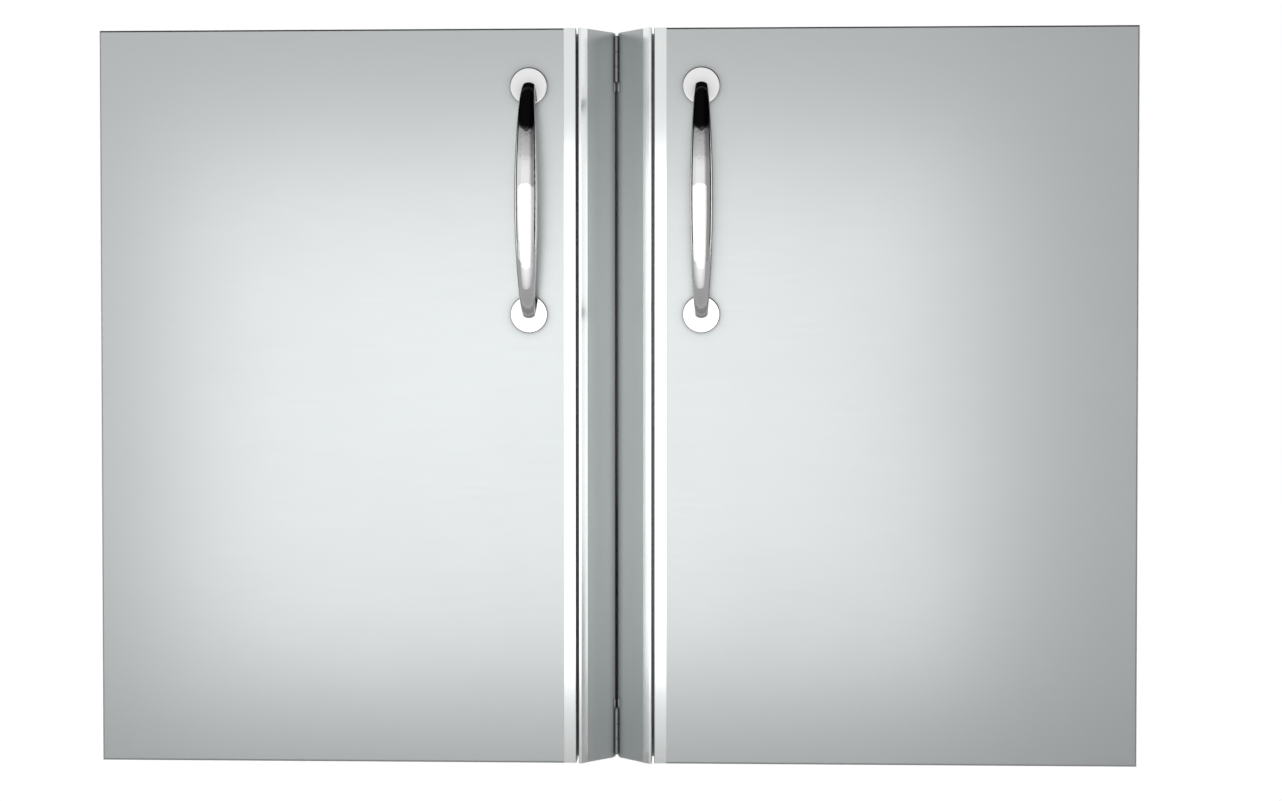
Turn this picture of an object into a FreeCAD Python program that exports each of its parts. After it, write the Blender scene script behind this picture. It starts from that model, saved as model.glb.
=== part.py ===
"""Corner access door for an outdoor kitchen island, shown opened out flat.

Two frame halves meet at a 45 degree mitre behind the doors and turn about small
hinges at the bottom of the V between them, so that the unit can be set flat or
round an inside corner. Each half carries one overlay door on a continuous hinge
at its outer edge, with a bowed handle near the V.

Row frame, in millimetres: X to the right, Y into the island, Z up. The origin is
in the plane of the island's face, in the middle of the unit's width and height.
"""
import FreeCAD, Part
import math
import os
import re
import Sketcher

# Points of a line or arc, as a sketch numbers them.
START, END, CENTRE = 1, 2, 3

# Driving dimensions: name, size in millimetres, degrees or a count, and what it is.
SIZES = (
    ("unit_width", 762.0, "outside of both frame halves, left to right"),
    ("unit_height", 540.0, "outside of the frame, bottom to top"),
    ("frame_sheet", 1.5, "sheet of the frame"),
    ("frame_bend", 2.0, "outside radius of the frame's bends"),
    ("flange_width", 26.0, "frame flange that laps over the island's face"),
    ("return_depth", 60.0, "frame return, from the island's face inwards"),
    ("cut_overrun", 5.0, "how far a cut runs past what it cuts"),
    ("apex_slit", 2.1, "gap between the two halves at the bottom of the V"),
    ("vee_depth", 24.0, "depth of the V from the doors' faces"),
    ("nose_width", 1.2, "flat at the front edge of the V"),
    ("landing_width", 18.5, "post flange that the door's free edge closes on"),
    ("trim_sheet", 0.6, "polished trim over the nose"),
    ("trim_reach", 4.2, "how far the trim runs down the V, seen from the front"),
    ("trim_side", 8.0, "trim leg in the gap beside the door"),
    ("door_gap", 6.0, "room between the frame's flange and the door's back"),
    ("door_edge_gap", 2.4, "gap between the nose and the door's free edge"),
    ("door_thickness", 22.0, "door, front to back"),
    ("door_sheet", 1.2, "sheet of the door's skin"),
    ("skin_bend", 1.5, "outside radius of the skin's bends"),
    ("edge_sheet", 1.2, "sheet of the polished edge channel"),
    ("edge_front", 9.0, "front leg of the edge channel"),
    ("edge_back", 14.0, "rear leg of the edge channel"),
    ("edge_short", 0.3, "how far the edge channel stops short of the door's ends"),
    ("rim_free", 34.0, "skin's rear rim at the free edge"),
    ("rim_hinge", 26.0, "skin's rear rim at the hinge"),
    ("rim_ends", 20.0, "skin's rear rim at top and bottom"),
    ("liner_sheet", 1.0, "inner panel that closes the door's back"),
    ("liner_play", 0.5, "room round the inner panel"),
    ("rib_sheet", 1.0, "sheet of the door's stiffening rib"),
    ("rib_width", 36.0, "rib's crown, against the inner panel"),
    ("rib_foot", 14.0, "each of the rib's feet, against the skin"),
    ("rib_end_gap", 12.0, "room between the rib and the skin's ends"),
    ("hinge_clearance", 0.3, "room between a knuckle and what turns beside it"),
    ("hinge_end", 18.0, "from the door's end to the hinge's end"),
    ("knuckle_length", 24.0, "one knuckle of the continuous hinge"),
    ("leaf_sheet", 1.2, "sheet of the hinge's leaves"),
    ("leaf_width", 20.0, "leaf, from the pin's axis to its free edge"),
    ("pin_radius", 1.35, "pin of the continuous hinge"),
    ("pin_play", 0.05, "radial play of every hinge pin"),
    ("pin_head", 1.0, "height of the pin's heads"),
    ("pin_head_radius", 2.1, "radius of the pin's heads"),
    ("rivet_radius", 1.6, "shank of a blind rivet"),
    ("rivet_head_radius", 3.0, "head of a blind rivet"),
    ("rivet_head", 0.9, "height of a rivet's head"),
    ("rivet_play", 0.05, "radial room round a rivet or small screw"),
    ("rivet_pitch", 100.0, "rivet to rivet along the continuous hinge"),
    ("rivet_inset", 12.0, "from the hinge's axis to its rivets"),
    ("wing_sheet", 1.0, "sheet of the corner hinges' wings"),
    ("wing_back_gap", 0.3, "from a wing's back edge to the island's face"),
    ("corner_knuckle_radius", 1.7, "barrel of a corner hinge"),
    ("corner_pin_radius", 1.0, "pin of a corner hinge"),
    ("corner_pin_head", 0.8, "height of a corner pin's heads"),
    ("corner_pin_head_radius", 1.5, "radius of a corner pin's heads"),
    ("corner_hinge_length", 33.0, "barrel of a corner hinge, end to end"),
    ("corner_hinge_end", 3.0, "from the frame's end to the barrel's end"),
    ("notch_room", 4.0, "notch beyond the barrel's end nearest the frame's end"),
    ("notch_slack", 8.0, "notch beyond the barrel's other end"),
    ("catch_end", 80.0, "from the frame's end to a magnetic catch's middle"),
    ("catch_width", 14.0, "catch housing, out from the post"),
    ("catch_depth", 18.0, "catch housing, front to back"),
    ("catch_length", 46.0, "catch housing, bottom to top"),
    ("ear_sheet", 3.0, "thickness of the catch's screw ears"),
    ("ear_length", 9.0, "length of one screw ear"),
    ("catch_edge", 1.2, "rounding of the catch housing"),
    ("magnet_width", 8.0, "magnet, across"),
    ("magnet_length", 36.0, "magnet, bottom to top"),
    ("magnet_depth", 10.0, "magnet, front to back"),
    ("magnet_proud", 0.6, "how far the magnet stands out of its housing"),
    ("magnet_play", 0.1, "room round the magnet in its pocket"),
    ("catch_gap", 0.3, "closed door's strike plate to the magnet"),
    ("screw_radius", 1.5, "shank of a catch screw"),
    ("screw_head_radius", 2.9, "head of a catch screw"),
    ("screw_head", 1.8, "height of a catch screw's head"),
    ("screw_end", 2.5, "catch screw's end beyond the post's wall"),
    ("strike_sheet", 1.5, "strike plate"),
    ("strike_width", 12.0, "strike plate, across"),
    ("strike_length", 68.0, "strike plate, bottom to top"),
    ("strike_rivets", 57.0, "rivet to rivet on a strike plate"),
    ("strike_edge", 2.5, "rounded corners of a strike plate"),
    ("bumper_radius", 4.5, "rubber bumper"),
    ("bumper_inset", 9.0, "from the nose to a bumper's middle"),
    ("bumper_end", 20.0, "from the frame's end to a bumper's middle"),
    ("bumper_gap", 0.3, "closed door to a bumper"),
    ("bumper_edge", 1.2, "rounding of a bumper"),
    ("fixing_radius", 2.6, "hole for a screw into the island"),
    ("fixing_depth", 35.0, "those holes, behind the island's face"),
    ("side_fixings", 300.0, "hole to hole on a side return"),
    ("end_fixings", 160.0, "hole to hole on a top or bottom return"),
    ("handle_edge", 34.5, "from the door's free edge to the handle's middle"),
    ("handle_top", 42.7, "from the door's top to the upper rosette's middle"),
    ("handle_centres", 166.8, "rosette to rosette"),
    ("handle_projection", 30.0, "front of the handle above the door's face"),
    ("handle_width", 17.2, "handle's section in the middle, across"),
    ("handle_thickness", 8.8, "handle's section in the middle, front to back"),
    ("foot_width", 9.6, "handle's section at a foot, across"),
    ("foot_thickness", 6.2, "handle's section at a foot, front to back"),
    ("side_roundness", 0.8, "radius of the section's sides over half its thickness"),
    ("foot_inset", 0.6, "handle's foot, inwards from the rosette's middle"),
    ("foot_angle", 68.0, "turn from the handle's middle to its foot, in degrees"),
    ("foot_radius", 26.0, "radius of the handle's line near a foot"),
    ("foot_sink", 6.0, "line of the handle past the rosette, cut off flush"),
    ("rosette_radius", 13.75, "rosette"),
    ("rosette_thickness", 2.5, "rosette"),
    ("rosette_edge", 0.8, "rounding of a rosette"),
    ("backing_sheet", 2.5, "plate behind the door's skin under the handle"),
    ("backing_width", 30.0, "that plate, across"),
    ("backing_end", 16.0, "that plate, beyond the handle's screws"),
    ("bolt_radius", 1.5, "handle screw"),
    ("bolt_play", 0.2, "radial room round it in sheet and rosette"),
    ("bolt_depth", 4.0, "handle screw in the handle's foot"),
    ("bolt_inset", 1.6, "handle screw, inwards from the rosette's middle"),
    ("bolt_head", 2.6, "height of the handle screw's head"),
    ("bolt_head_radius", 3.4, "radius of the handle screw's head"),
)

# Places and sizes that follow from the driving dimensions.
DERIVED = {
    "half_width": "unit_width / 2",
    "half_height": "unit_height / 2",
    "flange_front": "0 - frame_sheet",
    "door_back": "flange_front - door_gap",
    "door_front": "door_back - door_thickness",
    "slit_x": "apex_slit / 2",
    "apex_y": "door_front + vee_depth",
    "vee_x": "slit_x + vee_depth",
    "nose_x": "vee_x + nose_width",
    "door_inner": "nose_x + door_edge_gap",
    "opening_inner": "nose_x + landing_width",
    "opening_outer": "half_width - flange_width",
    "opening_top": "half_height - flange_width",
    "opening_middle": "(opening_inner + opening_outer) / 2",
    "mitre_shift": "frame_sheet * (sqrt(2) - 1)",
    "nose_inside_y": "slit_x + apex_y + frame_sheet * (sqrt(2) + 1) - nose_x",
    "knuckle_radius": "door_gap / 2 - hinge_clearance",
    "knuckle_reach": "knuckle_radius + hinge_clearance",
    "axis_x": "half_width - knuckle_radius",
    "axis_y": "flange_front - door_gap / 2",
    "hinge_length": "unit_height - 2 * hinge_end",
    "knuckle_count": "floor(hinge_length / knuckle_length)",
    "knuckle_pitch": "hinge_length / knuckle_count",
    "rivet_x": "axis_x - rivet_inset",
    "rivet_hole": "rivet_radius + rivet_play",
    "rivet_count": "floor((hinge_length / 2 - knuckle_reach) / rivet_pitch) * 2 + 1",
    "corner_reach": "corner_knuckle_radius + hinge_clearance",
    "corner_top": "half_height - corner_hinge_end",
    "corner_low": "corner_top - corner_hinge_length",
    "corner_third": "corner_hinge_length / 3",
    "corner_spacing": "corner_low + corner_top",
    "edge_front_x": "door_inner + edge_front",
    "edge_back_x": "door_inner + edge_back",
    "skin_inner": "door_inner + edge_sheet",
    "liner_back": "door_back - door_sheet",
    "liner_front": "liner_back - liner_sheet",
    "skin_inside": "door_front + door_sheet",
    "strike_front": "door_back + strike_sheet",
    "magnet_front": "strike_front + catch_gap",
    "catch_front": "magnet_front + magnet_proud",
    "catch_height": "half_height - catch_end",
    "catch_x": "opening_inner + catch_width / 2",
    "ear_screw": "(catch_length + ear_length) / 2",
    "catch_screw_y": "catch_front + catch_depth / 2",
    "screw_hole": "screw_radius + rivet_play",
    "handle_x": "door_inner + handle_edge",
    "handle_middle": "half_height - handle_top - handle_centres / 2",
    "rosette_front": "door_front - rosette_thickness",
    "bolt_spacing": "handle_centres - 2 * bolt_inset",
    "foot_centre": "handle_centres / 2 - foot_inset",
    "bow_rise": "handle_projection - rosette_thickness - handle_thickness / 2",
    "bow_run": "foot_centre - foot_radius * sin(foot_angle)",
    "bow_drop": "bow_rise - foot_radius * (1 - cos(foot_angle))",
    "bow_turn": "2 * atan(bow_drop / bow_run)",
    "bow_radius": "bow_run / sin(bow_turn) + foot_radius",
}

NAMES = {name for name, size, meaning in SIZES}
WORD = re.compile(r"[a-z][a-z0-9_]*")

doc = FreeCAD.newDocument("corner_access_door")
sheet = doc.addObject("Spreadsheet::Sheet", "Sizes")
for row, (name, size, meaning) in enumerate(SIZES, start=1):
    sheet.set(f"A{row}", name)
    sheet.set(f"B{row}", str(size))
    sheet.setAlias(f"B{row}", name)
    sheet.set(f"C{row}", meaning)
doc.recompute()

pieces = []


def bound(formula):
    """Write a formula of plain names as references to the sheet's cells."""

    def swap(match):
        word = match.group(0)
        if word in DERIVED:
            return "(" + bound(DERIVED[word]) + ")"
        if word in NAMES:
            return "Sizes." + word
        return word

    return WORD.sub(swap, formula)


def number(formula):
    """The present value of a formula."""
    value = sheet.evalExpression(bound(formula))
    return float(getattr(value, "Value", value))


def close(value, formula):
    """True where a measured coordinate is the one that a formula gives."""
    return abs(value - number(formula)) < 1e-4


def new_body(label, several=False):
    """Start a piece; several is True where it is a group of like solids."""
    body = doc.addObject("PartDesign::Body", label)
    body.Label = label
    body.AllowCompound = several
    pieces.append(body)
    return body


def origin_part(body, role):
    """One of the body's own origin planes or axes, by its role."""
    return next(part for part in body.Origin.OriginFeatures if part.Role == role)


def sketch_on(body, role, name, offset="0"):
    """An empty sketch on an origin plane, moved along the plane's normal."""
    sketch = body.newObject("Sketcher::SketchObject", name)
    sketch.AttachmentSupport = (origin_part(body, role), "")
    sketch.MapMode = "FlatFace"
    sketch.setExpression("AttachmentOffset.Base.z", bound(offset))
    return sketch


def place_point(sketch, line, end, formula, kind):
    """Tie one coordinate of a line's end to a formula, or to an axis where it is 0."""
    if formula == "0":
        axis = -2 if kind == "DistanceX" else -1
        sketch.addConstraint(Sketcher.Constraint("PointOnObject", line, end, axis))
        return
    rule = Sketcher.Constraint(kind, -1, 1, line, end, number(formula))
    index = sketch.addConstraint(rule)
    sketch.setExpression(f"Constraints[{index}]", bound(formula))


def polygon(sketch, corners):
    """A closed outline through corners given as pairs of formulas.

    A side whose ends share a formula is held upright or level, so that each
    coordinate is dimensioned once.
    """
    first = sketch.GeometryCount
    count = len(corners)
    points = [FreeCAD.Vector(number(x), number(y), 0) for x, y in corners]
    for index in range(count):
        side = Part.LineSegment(points[index], points[(index + 1) % count])
        sketch.addGeometry(side, False)
    for index in range(count):
        here = first + index
        after = first + (index + 1) % count
        sketch.addConstraint(Sketcher.Constraint("Coincident", here, 2, after, 1))
    for index in range(count):
        before = first + (index - 1) % count
        x, y = corners[index]
        old_x, old_y = corners[index - 1]
        if x == old_x:
            sketch.addConstraint(Sketcher.Constraint("Vertical", before))
        else:
            place_point(sketch, first + index, 1, x, "DistanceX")
        if y == old_y:
            sketch.addConstraint(Sketcher.Constraint("Horizontal", before))
        else:
            place_point(sketch, first + index, 1, y, "DistanceY")


def rectangle(sketch, left, right, low, high):
    """A rectangle between four formulas."""
    polygon(sketch, ((left, low), (right, low), (right, high), (left, high)))


def circle(sketch, x, y, radius):
    """A circle with its centre and radius given by formulas."""
    centre = FreeCAD.Vector(number(x), number(y), 0)
    ring = Part.Circle(centre, FreeCAD.Vector(0, 0, 1), number(radius))
    line = sketch.addGeometry(ring, False)
    place_point(sketch, line, 3, x, "DistanceX")
    place_point(sketch, line, 3, y, "DistanceY")
    index = sketch.addConstraint(Sketcher.Constraint("Radius", line, number(radius)))
    sketch.setExpression(f"Constraints[{index}]", bound(radius))


def pad(body, sketch, length, side="One side", back=False):
    """Extrude a sketch along its normal, against it with back, or both ways."""
    feature = body.newObject("PartDesign::Pad", "pad")
    feature.Profile = sketch
    feature.setExpression("Length", bound(length))
    feature.SideType = side
    feature.Reversed = back
    doc.recompute()
    return feature


def pocket(body, sketch, length, side="One side", along=False):
    """Cut a sketch against its normal, or with along in the normal's direction."""
    before = body.Shape.Volume
    feature = body.newObject("PartDesign::Pocket", "pocket")
    feature.Profile = sketch
    feature.setExpression("Length", bound(length))
    feature.SideType = side
    feature.Reversed = along
    doc.recompute()
    if body.Shape.Volume > before - 1e-6:
        raise RuntimeError(f"{body.Label}: a cut removes nothing")
    return feature


def fillet(body, radius, wanted):
    """Round the edges of the body's present shape for which wanted is true."""
    base = body.Tip
    names = [f"Edge{index}" for index, edge in enumerate(base.Shape.Edges, start=1) if wanted(edge)]
    if not names:
        raise RuntimeError(f"{body.Label}: no edge to round")
    feature = body.newObject("PartDesign::Fillet", "fillet")
    feature.Base = (base, names)
    feature.setExpression("Radius", bound(radius))
    doc.recompute()
    return feature


def upright_at(*corners):
    """A test for the edges along Z that stand on one of the given corners."""

    def wanted(edge):
        start, end = edge.Vertexes[0].Point, edge.Vertexes[-1].Point
        upright = abs(start.x - end.x) < 1e-4 and abs(start.y - end.y) < 1e-4
        long = abs(start.z - end.z) > 1e-4
        return upright and long and any(close(start.x, x) and close(start.y, y) for x, y in corners)

    return wanted


def step_along(body, spacing, count, down=False):
    """Repeat the whole body along Z, downwards with down."""
    feature = body.newObject("PartDesign::LinearPattern", "pattern")
    feature.TransformMode = "Whole shape"
    set_pattern(body, feature, spacing, count, down)
    return feature


def repeat_feature(body, original, spacing, count, down=False):
    """Repeat one feature of a body along Z, downwards with down."""
    feature = body.newObject("PartDesign::LinearPattern", "pattern")
    feature.Originals = [original]
    set_pattern(body, feature, spacing, count, down)
    return feature


def set_pattern(body, feature, spacing, count, down):
    """Give a pattern its direction, its spacing and its number of copies."""
    feature.Direction = (origin_part(body, "Z_Axis"), [""])
    feature.Reversed = down
    feature.Mode = "Spacing"
    feature.setExpression("Offset", bound(spacing))
    feature.setExpression("Occurrences", bound(count))
    body.Tip = feature
    doc.recompute()


def mirrored(source, label, normal=(1, 0, 0)):
    """The same piece on the other side of the middle plane."""
    feature = doc.addObject("Part::Mirroring", label)
    feature.Label = label
    feature.Source = source
    feature.Normal = FreeCAD.Vector(*normal)
    pieces.append(feature)
    return feature


def outer_stile():
    """Outer upright of the frame: an angle of sheet, mitred at both ends."""
    body = new_body("right_outer_stile")
    section = sketch_on(body, "XY_Plane", "angle_section")
    inside = "opening_outer - frame_sheet"
    polygon(section, (
        (inside, "flange_front"), ("half_width", "flange_front"), ("half_width", "0"),
        ("opening_outer", "0"), ("opening_outer", "return_depth"), (inside, "return_depth"),
    ))
    pad(body, section, "unit_height", side="Symmetric")
    fillet(body, "frame_bend", upright_at((inside, "flange_front")))
    mitres = sketch_on(body, "XZ_Plane", "mitres")
    past_x = "half_width + cut_overrun"
    past_inside = inside + " - cut_overrun"
    for sign in ("", "0 - "):
        low = f"{sign}(opening_top - frame_sheet - cut_overrun)"
        high = f"{sign}(half_height + cut_overrun)"
        polygon(mitres, ((past_inside, low), (past_x, high), (past_inside, high)))
    pocket(body, mitres, "4 * return_depth", side="Symmetric")
    holes = sketch_on(body, "YZ_Plane", "fixing_holes", inside + " - cut_overrun")
    for sign in ("", "0 - "):
        circle(holes, "fixing_depth", f"{sign}side_fixings / 2", "fixing_radius")
    pocket(body, holes, "frame_sheet + 2 * cut_overrun", along=True)
    row = sketch_on(body, "XZ_Plane", "hinge_rivet_hole")
    circle(row, "rivet_x", FRAME_RIVET_START, "rivet_hole")
    drilled = pocket(body, row, "4 * frame_sheet", side="Symmetric")
    repeat_feature(body, drilled, "rivet_pitch", "rivet_count")
    return body


def top_rail():
    """Top of the frame: an angle of sheet, mitred to the stile, square at the post."""
    body = new_body("right_top_rail")
    section = sketch_on(body, "YZ_Plane", "angle_section", "opening_inner")
    inside = "opening_top - frame_sheet"
    polygon(section, (
        ("flange_front", inside), ("return_depth", inside), ("return_depth", "opening_top"),
        ("0", "opening_top"), ("0", "half_height"), ("flange_front", "half_height"),
    ))
    pad(body, section, "half_width - opening_inner")

    def front_bend(edge):
        ends = [vertex.Point for vertex in edge.Vertexes]
        return all(close(end.y, "flange_front") and close(end.z, inside) for end in ends)

    fillet(body, "frame_bend", front_bend)
    mitre = sketch_on(body, "XZ_Plane", "mitre")
    past_x = "half_width + cut_overrun"
    below = inside + " - cut_overrun"
    polygon(mitre, (
        ("opening_outer - frame_sheet - cut_overrun", below), (past_x, below),
        (past_x, "half_height + cut_overrun"),
    ))
    pocket(body, mitre, "4 * return_depth", side="Symmetric")
    holes = sketch_on(body, "XY_Plane", "fixing_holes", inside + " - cut_overrun")
    for sign in ("+", "-"):
        circle(holes, f"opening_middle {sign} end_fixings / 2", "fixing_depth", "fixing_radius")
    pocket(body, holes, "frame_sheet + 2 * cut_overrun", along=True)
    return body


def corner_post():
    """Inner upright: one sheet folded from the slit round the nose to the opening."""
    body = new_body("right_corner_post")
    section = sketch_on(body, "XY_Plane", "folded_section")
    slit_inside = "slit_x + frame_sheet"
    nose_inside = "nose_x - frame_sheet"
    opening_inside = "opening_inner - frame_sheet"
    polygon(section, (
        ("slit_x", "return_depth"), ("slit_x", "apex_y"), ("vee_x", "door_front"),
        ("nose_x", "door_front"), ("nose_x", "flange_front"),
        ("opening_inner", "flange_front"), ("opening_inner", "return_depth"),
        (opening_inside, "return_depth"), (opening_inside, "0"), (nose_inside, "0"),
        (nose_inside, "nose_inside_y"), (slit_inside, "apex_y + mitre_shift"),
        (slit_inside, "return_depth"),
    ))
    pad(body, section, "unit_height", side="Symmetric")
    fillet(body, "nose_width / 2", upright_at(("vee_x", "door_front"), ("nose_x", "door_front")))
    fillet(body, "frame_bend", upright_at(("opening_inner", "flange_front")))
    ends = sketch_on(body, "YZ_Plane", "return_ends")
    for sign in ("", "0 - "):
        rectangle(ends, "0", "return_depth + cut_overrun",
                  f"{sign}opening_top", f"{sign}(half_height + cut_overrun)")
    pocket(body, ends, "unit_width", side="Symmetric")
    for sign in ("", "0 - "):
        add_hinge_notch(body, sign)
    holes = sketch_on(body, "YZ_Plane", "catch_holes", opening_inside + " - cut_overrun")
    for side in ("", "0 - "):
        for end in ("+", "-"):
            circle(holes, "catch_screw_y", f"{side}(catch_height {end} ear_screw)", "screw_hole")
    pocket(body, holes, "frame_sheet + 2 * cut_overrun", along=True)
    return body


def add_hinge_notch(body, sign):
    """Clear the post's fold round one corner hinge; sign is empty for the upper one."""
    height = "corner_hinge_length + notch_room + notch_slack"
    start = f"{sign}(corner_top + notch_room)"
    notch = sketch_on(body, "XY_Plane", "hinge_notch", start)
    rectangle(notch, "0 - cut_overrun", "corner_reach + hinge_clearance",
              "apex_y - cut_overrun", "apex_y + corner_reach")
    pocket(body, notch, height, along=sign != "")


def post_end_caps():
    """Plates that close the hollow nose at the frame's top and bottom."""
    body = new_body("right_post_end_caps", several=True)
    outline = sketch_on(body, "XY_Plane", "cap_outline", "half_height")
    slit_inside = "slit_x + frame_sheet"
    nose_inside = "nose_x - frame_sheet"
    polygon(outline, (
        (slit_inside, "0"), (slit_inside, "apex_y + mitre_shift"),
        (nose_inside, "nose_inside_y"), (nose_inside, "0"),
    ))
    pad(body, outline, "frame_sheet", back=True)
    step_along(body, "unit_height - frame_sheet", "2", down=True)
    return body


def nose_trim():
    """Polished strip that wraps the nose and the first of the V's slope."""
    body = new_body("right_nose_trim")
    section = sketch_on(body, "XY_Plane", "trim_section")
    outside = "nose_x + trim_sheet"
    front = "door_front - trim_sheet"
    side_end = "door_front + trim_side"
    polygon(section, (
        ("vee_x - trim_reach", "door_front + trim_reach"), ("vee_x", "door_front"),
        ("nose_x", "door_front"), ("nose_x", side_end), (outside, side_end),
        (outside, front), ("vee_x - trim_sheet * (sqrt(2) - 1)", front),
        ("vee_x - trim_reach - trim_sheet / sqrt(2)", "door_front + trim_reach - trim_sheet / sqrt(2)"),
    ))
    pad(body, section, "unit_height", side="Symmetric")
    fillet(body, "trim_sheet", upright_at((outside, front)))
    return body


def hinge_leaf(label, back, front, first_notch, notches, rivet_count, first_rivet):
    """One leaf of the continuous hinge with its knuckles.

    back and front are the leaf's two faces, first_notch the number of the first
    knuckle that belongs to the other leaf, and notches how many of those there are.
    """
    body = new_body(label)
    plate = sketch_on(body, "XY_Plane", "leaf_plate")
    rectangle(plate, "axis_x - leaf_width", "axis_x", front, back)
    pad(body, plate, "hinge_length", side="Symmetric")
    barrel = sketch_on(body, "XY_Plane", "barrel")
    circle(barrel, "axis_x", "axis_y", "knuckle_radius")
    pad(body, barrel, "hinge_length", side="Symmetric")
    bore = sketch_on(body, "XY_Plane", "bore")
    circle(bore, "axis_x", "axis_y", "pin_radius + pin_play")
    pocket(body, bore, "hinge_length + cut_overrun", side="Symmetric")
    low = f"{first_notch} * knuckle_pitch - hinge_length / 2 - hinge_clearance / 2"
    gap = sketch_on(body, "XY_Plane", "knuckle_gap", low)
    rectangle(gap, "axis_x - knuckle_reach", "axis_x + knuckle_reach",
              "axis_y - door_gap / 2 - cut_overrun", "axis_y + door_gap / 2 + cut_overrun")
    cut = pocket(body, gap, "knuckle_pitch + hinge_clearance", along=True)
    repeat_feature(body, cut, "2 * knuckle_pitch", notches)
    holes = sketch_on(body, "XZ_Plane", "rivet_hole", "0 - axis_y")
    circle(holes, "rivet_x", first_rivet, "rivet_hole")
    drilled = pocket(body, holes, "2 * door_gap", side="Symmetric")
    drilled.Label = label + "_rivet_holes"
    repeat_feature(body, drilled, "rivet_pitch", rivet_count)
    return body


def hinge_pin():
    """Pin of the continuous hinge, headed at both ends."""
    body = new_body("right_hinge_pin")
    shaft = sketch_on(body, "XY_Plane", "shaft")
    circle(shaft, "axis_x", "axis_y", "pin_radius")
    pad(body, shaft, "hinge_length", side="Symmetric")
    for sign, back in (("", False), ("0 - ", True)):
        head = sketch_on(body, "XY_Plane", "head", f"{sign}hinge_length / 2")
        circle(head, "axis_x", "axis_y", "pin_head_radius")
        pad(body, head, "pin_head", back=back)
    return body


def rivet_row(label, x, first, spacing, count, head_face, head_out, shank_end, tail=None):
    """A row of rivets along Z whose heads sit on head_face and point along head_out.

    shank_end is where the shanks end, and tail, where it is given, is the face
    on which a formed tail sits.
    """
    body = new_body(label, several=True)
    shank = sketch_on(body, "XZ_Plane", "shank", f"0 - ({head_face})")
    circle(shank, x, first, "rivet_radius")
    if head_out > 0:
        pad(body, shank, f"({head_face}) - ({shank_end})")
    else:
        pad(body, shank, f"({shank_end}) - ({head_face})", back=True)
    head = sketch_on(body, "XZ_Plane", "head", f"0 - ({head_face})")
    circle(head, x, first, "rivet_head_radius")
    pad(body, head, "rivet_head", back=head_out > 0)
    if tail is not None:
        formed = sketch_on(body, "XZ_Plane", "tail", f"0 - ({tail})")
        circle(formed, x, first, "rivet_head_radius - rivet_play")
        pad(body, formed, "rivet_head", back=head_out < 0)
    for step, number_of in zip(spacing, count):
        step_along(body, step, number_of)
    return body


def catch_housings():
    """Plastic housings of the magnetic catches, with a screw ear at each end."""
    body = new_body("right_catch_housings", several=True)
    block = sketch_on(body, "XY_Plane", "block", "catch_height")
    outside = "opening_inner + catch_width"
    rectangle(block, "opening_inner", outside, "catch_front", "catch_front + catch_depth")
    pad(body, block, "catch_length", side="Symmetric")
    fillet(body, "catch_edge", upright_at(
        (outside, "catch_front"), (outside, "catch_front + catch_depth")))
    ears = sketch_on(body, "XY_Plane", "ears", "catch_height")
    rectangle(ears, "opening_inner", "opening_inner + ear_sheet",
              "catch_screw_y - catch_depth / 4", "catch_screw_y + catch_depth / 4")
    pad(body, ears, "catch_length + 2 * ear_length", side="Symmetric")
    seat = sketch_on(body, "XZ_Plane", "magnet_pocket", "0 - catch_front")
    half = "magnet_width / 2 + magnet_play"
    tall = "magnet_length / 2 + magnet_play"
    rectangle(seat, f"catch_x - ({half})", f"catch_x + ({half})",
              f"catch_height - ({tall})", f"catch_height + ({tall})")
    pocket(body, seat, "magnet_depth - magnet_proud")
    holes = sketch_on(body, "YZ_Plane", "ear_holes", "opening_inner - cut_overrun")
    for end in ("+", "-"):
        circle(holes, "catch_screw_y", f"catch_height {end} ear_screw", "screw_hole")
    pocket(body, holes, "ear_sheet + 2 * cut_overrun", along=True)
    step_along(body, "2 * catch_height", "2", down=True)
    return body


def catch_magnets():
    """Magnets that stand slightly out of their housings."""
    body = new_body("right_catch_magnets", several=True)
    block = sketch_on(body, "XZ_Plane", "magnet", "0 - magnet_front")
    rectangle(block, "catch_x - magnet_width / 2", "catch_x + magnet_width / 2",
              "catch_height - magnet_length / 2", "catch_height + magnet_length / 2")
    pad(body, block, "magnet_depth", back=True)
    step_along(body, "2 * catch_height", "2", down=True)
    return body


def catch_screws():
    """Screws that hold the catches to the post, heads on the ears."""
    body = new_body("right_catch_screws", several=True)
    seat = "opening_inner + ear_sheet"
    height = "catch_height + ear_screw"
    shank = sketch_on(body, "YZ_Plane", "shank", seat)
    circle(shank, "catch_screw_y", height, "screw_radius")
    pad(body, shank, "ear_sheet + frame_sheet + screw_end", back=True)
    head = sketch_on(body, "YZ_Plane", "head", seat)
    circle(head, "catch_screw_y", height, "screw_head_radius")
    pad(body, head, "screw_head")
    step_along(body, "2 * ear_screw", "2", down=True)
    step_along(body, "2 * catch_height", "2", down=True)
    return body


def door_bumpers():
    """Rubber bumpers on the post's landing, under the door's free edge."""
    body = new_body("right_door_bumpers", several=True)
    disc = sketch_on(body, "XZ_Plane", "bumper", "0 - flange_front")
    circle(disc, "nose_x + bumper_inset", "half_height - bumper_end", "bumper_radius")
    pad(body, disc, "door_gap - bumper_gap")

    def front_rim(edge):
        return len(edge.Vertexes) == 1 and close(edge.Vertexes[0].Point.y, "door_back + bumper_gap")

    fillet(body, "bumper_edge", front_rim)
    step_along(body, "unit_height - 2 * bumper_end", "2", down=True)
    return body


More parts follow.
